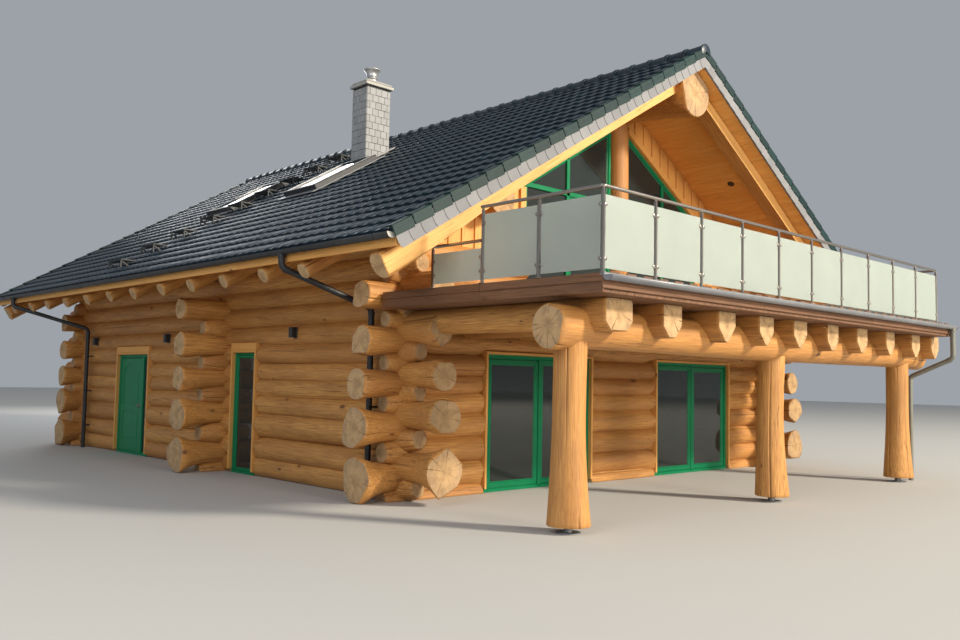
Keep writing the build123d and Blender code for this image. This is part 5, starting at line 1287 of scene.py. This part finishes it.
for a, b in zip(thirds[:-1], thirds[1:]):
    boxes(deck, (a, b - 0.003), (DECK_FRONT + 0.002, DECK_FRONT + 0.028), (UNDER + 0.045, 2.896), 0.005,
          grain_axis=0)
x = np.arange(DECK_LEFT + 0.12, DECK_RIGHT - 0.2, 0.31)
boxes(deck, (x, x + 0.17), (DECK_FRONT + 0.002, DECK_FRONT + 0.020), (2.9275, 2.950), 0.003)
deck.build("balcony_deck_boards", [DARK_BOARD, WARM_BOARD], replaces=["balcony_deck"], slot="sawn_timber")

SPOUT_RADIUS = 0.060
SPOUT_Y, SPOUT_RIM = DECK_FRONT - SPOUT_RADIUS - SEAT, 2.898
spout = Shape()
trough(spout, (DECK_LEFT, SPOUT_Y, SPOUT_RIM), (DECK_RIGHT, SPOUT_Y, SPOUT_RIM), SPOUT_RADIUS)
boxes(spout, (DECK_LEFT, DECK_RIGHT), (DECK_FRONT - 0.012, DECK_FRONT + 0.05), (2.90, 2.927), 0.002)
spout.build("balcony_trough", ZINC, replaces=["balcony_gutter"], slot="zinc")
drop = Shape()
x = DECK_RIGHT - 0.12
pipe(drop, [(x, SPOUT_Y, SPOUT_RIM - SPOUT_RADIUS - SEAT), (x, SPOUT_Y, 2.30), (x, BEAM_Y - 0.06, 1.95),
            (x, BEAM_Y - 0.06, 0.0)], PIPE_RADIUS,
     collars=[(0.0, 0.2, 0.03), (0.5, 0.12, 0.03), (0.96, 0.14, 0.05)])
drop.build("balcony_pipe", PIPE_GREY, replaces=["balcony_downpipe"], slot="zinc")

RAIL_X, RAIL_Y = -0.576 - HALF, FRONT - 4.122
RAIL_TOP, PITCH, SIDE = TOP + 0.957, 0.965, 0.945
BAYS, SIDE_BAYS = 10, 3
RAIL_END = RAIL_X + BAYS * PITCH
LOW_TOP = RAIL_TOP - 0.42
TUBE = 0.0212
POST_RADII = (0.0, 0.046, 0.046, 0.030, TUBE, TUBE, 0.012, 0.012)
rails, sheets, clamps = Shape(), Shape(), Shape()
spots = [(RAIL_X + i * PITCH, RAIL_Y, RAIL_TOP) for i in range(BAYS + 1)]
for x in (RAIL_X, RAIL_END):
    spots += [(x, RAIL_Y + SIDE, RAIL_TOP), (x, RAIL_Y + 2 * SIDE, RAIL_TOP), (x, RAIL_Y + 3 * SIDE, LOW_TOP)]
for x, y, top in spots:
    lathe(rails, (x, y, 0), (TOP + SEAT, TOP + SEAT, TOP + 0.004, TOP + 0.006, TOP + 0.012, top - 0.035,
                             top - 0.030, top - 0.019), POST_RADII)
y = RAIL_Y + 2 * SIDE
pipe(rails, [(RAIL_X, y + 0.03, RAIL_TOP), (RAIL_X, RAIL_Y, RAIL_TOP), (RAIL_END, RAIL_Y, RAIL_TOP),
             (RAIL_END, y + 0.03, RAIL_TOP)], TUBE, bend=0.03)
for x in (RAIL_X, RAIL_END):
    pipe(rails, [(x, y + 0.024, LOW_TOP), (x, y + 0.5 * SIDE, LOW_TOP), (x, y + SIDE + 0.02, LOW_TOP)], TUBE,
         bend=0.02)
rails.build("railing_posts_and_rail", STEEL, replaces=["railing_frame"], slot="stainless")

GAP = 0.033
CLAMP_PLACES = (-0.016, -0.015, -0.012, -0.006, 0.006, 0.012, 0.015, 0.016)
CLAMP_RADII = (0.0, 0.017, 0.022, 0.024, 0.024, 0.022, 0.017, 0.0)


def railing_bay(axis, start, width, across, top):
    """A pane between two rail posts, with four round clamps of two domed discs and a stub to the post."""
    pane(sheets, rect(start + GAP, start + width - GAP, TOP + 0.045, top), across, axis, 0.010)
    for along, away in ((start + GAP + 0.004, 1), (start + width - GAP - 0.004, -1)):
        for z in (TOP + 0.155, top - 0.11):
            xs, ys = (along, along - away * 0.03), (across - 0.010, across + 0.010)
            centre, axes = (along, across, z), (0, 2, 1)
            if axis == "y":
                xs, ys, centre, axes = ys, xs, (across, along, z), (1, 2, 0)
            lathe(clamps, centre, CLAMP_PLACES, CLAMP_RADII, axes)
            boxes(clamps, xs, ys, (z - 0.008, z + 0.008), 0.002)


for i in range(BAYS):
    railing_bay("x", RAIL_X + i * PITCH, PITCH, RAIL_Y, RAIL_TOP - 0.095)
for x in (RAIL_X, RAIL_END):
    for i in range(SIDE_BAYS):
        railing_bay("y", RAIL_Y + i * SIDE, SIDE, x, (RAIL_TOP if i < 2 else LOW_TOP) - 0.095)
sheets.build("railing_panes", FROSTED, replaces=["railing_glass"], slot="frosted_glass")
clamps.build("pane_clamps", STEEL, replaces=["railing_clamps"], slot="stainless")

# ---- chimney, skylights, roof steps and lamps

CX, CY, CW, CD, CTOP = CHIMNEY
INSET = 0.012
STACK_FOOT, COURSE = 5.2, 0.148
STACK_SIDES = ((CW, place([CX, CY + INSET, 0], [1, 0, 0], [0, 1, 0], [0, 0, 1])),
               (CD, place([CX + CW - INSET, CY, 0], [0, 1, 0], [-1, 0, 0], [0, 0, 1])),
               (CW, place([CX + CW, CY + CD - INSET, 0], [-1, 0, 0], [0, -1, 0], [0, 0, 1])),
               (CD, place([CX + INSET, CY + CD, 0], [0, -1, 0], [1, 0, 0], [0, 0, 1])))
stack = Shape()
# The core behind the slates is dark metal, so the gaps between slates show painted shade.
boxes(stack, (CX + INSET, CX + CW - INSET), (CY + INSET, CY + CD - INSET), (0, CTOP), mat=1)
for width, base in STACK_SIDES:
    for k in range(int((CTOP - STACK_FOOT) / COURSE)):
        z = STACK_FOOT + k * COURSE
        tilt = base @ place([0, 0, z], [1, 0, 0], [0, 1, 0.04], [0, -0.04, 1])
        edges = np.clip(np.arange(-1, 6) * width / 4 + (k % 2) * width / 8, 0, width)
        for e0, e1 in zip(edges[:-1], edges[1:]):
            if e1 - e0 > 0.02:
                low = rng.uniform(0.003, 0.010)
                boxes(stack, (e0 + 0.004, e1 - 0.004), (-0.015, -0.004),
                      (low, min(COURSE - 0.002, CTOP - z - 0.01)), 0.002, tilt)
stack.build("chimney_slates", [SLATE, DARK_METAL], replaces=["chimney"], slot="slate")

FLUE_TOP = CTOP + 0.1206
FLASHING = 0.10
cap = Shape()
boxes(cap, (CX - 0.055, CX + CW + 0.055), (CY - 0.055, CY + CD + 0.055), (CTOP + SEAT, CTOP + 0.06), 0.006)
boxes(cap, (CX - 0.035, CX + CW + 0.035), (CY - 0.035, CY + CD + 0.035), (CTOP + 0.06, CTOP + 0.118), 0.03)
m = slope_matrix(-1, 0, 0.075)
u = (EAVE + CX) / COS
for ys in ((CY - FLASHING, CY), (CY + CD, CY + CD + FLASHING)):
    boxes(cap, (u - 0.11, u + 0.86), ys, (-0.01, 0.006), 0.002, m)
boxes(cap, (u - 0.22, u), (CY - FLASHING, CY + CD + FLASHING), (-0.012, 0.004), 0.002, m)
cap.build("chimney_sheet_cap", CAP_SHEET, replaces=["chimney_cap"], slot="zinc")
flue = Shape()
lathe(flue, (CX + CW / 2, CY + CD / 2, FLUE_TOP),
      (0, 0, 0.03, 0.035, 0.11, 0.11, 0.128, 0.128, 0.20, 0.25, 0.29, 0.305, 0.315, 0.31),
      (0, 0.142, 0.138, 0.112, 0.112, 0.124, 0.124, 0.112, 0.115, 0.135, 0.172, 0.186, 0.182, 0), segments=32)
flue.build("flue_top", BRIGHT_STEEL, replaces=["flue_cowl"], slot="dark_metal")

LIGHT_LONG, LIGHT_WIDE, LIGHT_RIM = 1.70, 1.14, 0.09
LIGHT_FRAME = ((0, LIGHT_LONG, 0, LIGHT_RIM), (0, LIGHT_LONG, LIGHT_WIDE - LIGHT_RIM, LIGHT_WIDE),
               (0, LIGHT_RIM, LIGHT_RIM, LIGHT_WIDE - LIGHT_RIM),
               (LIGHT_LONG - LIGHT_RIM, LIGHT_LONG, LIGHT_RIM, LIGHT_WIDE - LIGHT_RIM))
LIGHT_FLASHING = ((-0.16, 0, -0.09, 1.23), (LIGHT_LONG, 1.84, -0.09, 1.23), (0, LIGHT_LONG, -0.09, 0),
                  (0, LIGHT_LONG, LIGHT_WIDE, 1.23))
lights, light_panes = Shape(), Shape()
for y in (FRONT + 4.45, FRONT + 7.78):
    m = slope_matrix(-1, y, SEAT, 3.56)
    for u0, u1, v0, v1 in LIGHT_FRAME:
        boxes(lights, (u0, u1), (v0, v1), (0, 0.168), 0.012, m)
    for u0, u1, v0, v1 in LIGHT_FLASHING:
        boxes(lights, (u0, u1), (v0, v1), (0.062, 0.074), 0.003, m, mat=1)
    for v0 in (0.05, 1.04):
        boxes(lights, (0.05, 1.65), (v0, v0 + 0.05), (0.150, 0.176), 0.004, m, mat=1)
    boxes(light_panes, (LIGHT_RIM, 1.61), (LIGHT_RIM, 1.05), (0.122, 0.146), 0.002, m)
lights.build("skylight_casings", [DARK_METAL, ZINC], replaces=["skylight_frames"], slot="dark_metal")
light_panes.build("skylight_panes", GLASS_WITH_PAINTED_SHADE, replaces=["skylight_glass"], slot="glass")

STEP_COUNT, STEP_RISE, STEP_HALF = 9, 0.73, 0.30
steps = Shape()
for i in range(STEP_COUNT):
    x, y, z = slope_matrix(-1, FRONT + 7.33, TILE_THICK + SEAT, 0.75 + i * STEP_RISE)[:3, 3]
    for k in range(8):
        x0 = x - 0.28 + k * 0.0375
        boxes(steps, (x0, x0 + 0.012), (y - STEP_HALF, y + STEP_HALF), (z + 0.004, z + 0.024), 0.002)
    for y0 in (y - STEP_HALF, y - 0.10, y + 0.088, y + 0.288):
        boxes(steps, (x - 0.28, x), (y0, y0 + 0.012), (z, z + 0.026), 0.002)
    for y0 in (y - STEP_HALF, y + 0.274):
        boxes(steps, (x - 0.28, x - 0.254), (y0, y0 + 0.026), (z - 0.150, z + 0.01), 0.003)
        boxes(steps, (x - 0.03, x), (y0, y0 + 0.026), (z - 0.012, z + 0.01), 0.003)
        strut = place([x - 0.265, y0, z], [0.86, 0, -0.51], [0, 1, 0], [0.51, 0, 0.86])
        boxes(steps, (0, 0.20), (0, 0.022), (-0.026, 0), 0.003, strut)
steps.build("sweep_steps", DARK_METAL, replaces=["roof_steps"], slot="dark_metal")

LAMP_X = -HALF - 0.1925 - SEAT
LAMP_Y = FRONT - course_radius(SHORT_Z, 8) - SEAT
lamps = Shape()
for y in (FRONT + 2.60, FRONT + 7.32, FRONT + 11.07):
    boxes(lamps, (LAMP_X - 0.018, LAMP_X), (y - 0.055, y + 0.055), (2.36, 2.55))
    boxes(lamps, (LAMP_X - 0.11, LAMP_X - 0.018), (y - 0.045, y + 0.045), (2.37, 2.54), 0.008)
    boxes(lamps, (LAMP_X - 0.095, LAMP_X - 0.03), (y - 0.032, y + 0.032), (2.364, 2.372), 0.002, mat=1)
x = 0.76 - HALF
boxes(lamps, (x - 0.055, x + 0.055), (LAMP_Y - 0.018, LAMP_Y), (2.47, 2.66))
boxes(lamps, (x - 0.045, x + 0.045), (LAMP_Y - 0.11, LAMP_Y - 0.018), (2.48, 2.65), 0.008)
under_eave = slope_matrix(1, FRONT - 0.90, -DECK_THICK - 0.0005, (EAVE - 2.60) / COS)
turn = circle(28)
for r0, r1, z0 in ((0, 0.052, -0.006), (0.050, 0.066, -0.014)):
    radii = np.array([r0, r0, r1 - 0.004, r1, r1, r0])[:, None]
    z = np.array([0, z0, z0, z0 + 0.004, 0, 0])[:, None]
    points = np.stack([radii * np.cos(turn), radii * np.sin(turn), np.broadcast_to(z, (6, 28))], -1)
    lamps.add(points @ under_eave[:3, :3].T + under_eave[:3, 3], grid_faces(6, 28, True)[:, ::-1], 0, False)
lamps.build("wall_lamp_bodies", [DARK_METAL, LAMP_GLASS], replaces=["wall_lamps"], slot="dark_metal")


def repaint(node, mat):
    """Gives a node of the construction one of the scene's materials."""
    obj = frame["nodes"][node]
    obj.data.materials.clear()
    obj.data.materials.append(mat)


repaint("ground_floor", CONCRETE)
repaint("upper_floor", FLOOR_BOARD)

# ---- floor, light and camera

ground = bpy.data.meshes.new("studio_floor")
FLOOR_HALF = 90
corners = [(x * FLOOR_HALF, y * FLOOR_HALF, -0.002) for x, y in ((-1, -1), (1, -1), (1, 1), (-1, 1))]
ground.from_pydata(corners, [], [(0, 1, 2, 3)])
ground_obj = bpy.data.objects.new("studio_floor", ground)
bpy.context.scene.collection.objects.link(ground_obj)
m, node, shader, links = material("studio_floor")
shader.inputs["Base Color"].default_value = (0.50, 0.50, 0.49, 1)
shader.inputs["Roughness"].default_value = 0.9
ground.materials.append(m)


def area(name, spot, target, size, power, colour=(1, 1, 1)):
    """Soft square lamp at a place, turned towards a target."""
    data = bpy.data.lights.new(name, "AREA")
    data.shape, data.size, data.size_y, data.energy, data.color = "RECTANGLE", size, size, power, colour
    obj = bpy.data.objects.new(name, data)
    obj.location = spot
    z = unit(np.array(spot, float) - np.array(target, float))
    x = unit(np.cross([0, 0, 1], z))
    obj.matrix_world = Matrix(place(spot, x, np.cross(z, x), z).tolist())
    bpy.context.scene.collection.objects.link(obj)


area("key", (20, -54, 29), (0, -4, 3), 6.8, 50000, (1.0, 0.89, 0.72))
area("fill", (-24, -12, 11), (-2, 1, 2.5), 12, 1350, (0.95, 0.97, 1.0))
area("bounce", (-6, -46, 8), (0.5, -6, 18), 9, 7200, (1.0, 0.90, 0.76))
area("rear", (8, 26, 14), (0, 4, 3), 12, 2300)
world = bpy.data.worlds.new("studio")
world.use_nodes = True
world.node_tree.nodes["Background"].inputs[0].default_value = (0.80, 0.86, 0.93, 1)
world.node_tree.nodes["Background"].inputs[1].default_value = 0.42
bpy.context.scene.world = world
bpy.context.scene.view_settings.view_transform = "Standard"

# The camera fitted to the photograph: place, angles, and focal length in pixels over the picture's width
CAMERA_PLACE = [-8.242 - HALF, -10.258 + FRONT, 1.734]
FOCAL_PIXELS, PICTURE_PIXELS, SENSOR = 902, 960, 36
yaw, pitch, roll = (math.radians(v) for v in (43.594, 3.809, 1.109))
forward = np.array([math.sin(yaw) * math.cos(pitch), math.cos(yaw) * math.cos(pitch), math.sin(pitch)])
right_axis = np.array([math.cos(yaw), -math.sin(yaw), 0])
up_axis = np.cross(right_axis, forward)
rolled_right = math.cos(roll) * right_axis + math.sin(roll) * up_axis
rolled_up = -math.sin(roll) * right_axis + math.cos(roll) * up_axis
cam_data = bpy.data.cameras.new("camera")
cam_data.sensor_fit, cam_data.sensor_width, cam_data.clip_end = "HORIZONTAL", SENSOR, 500
cam_data.lens = FOCAL_PIXELS / PICTURE_PIXELS * SENSOR
camera = bpy.data.objects.new("camera", cam_data)
camera.matrix_world = Matrix(place(CAMERA_PLACE, rolled_right, rolled_up, -forward).tolist())
bpy.context.scene.collection.objects.link(camera)
bpy.context.scene.camera = camera
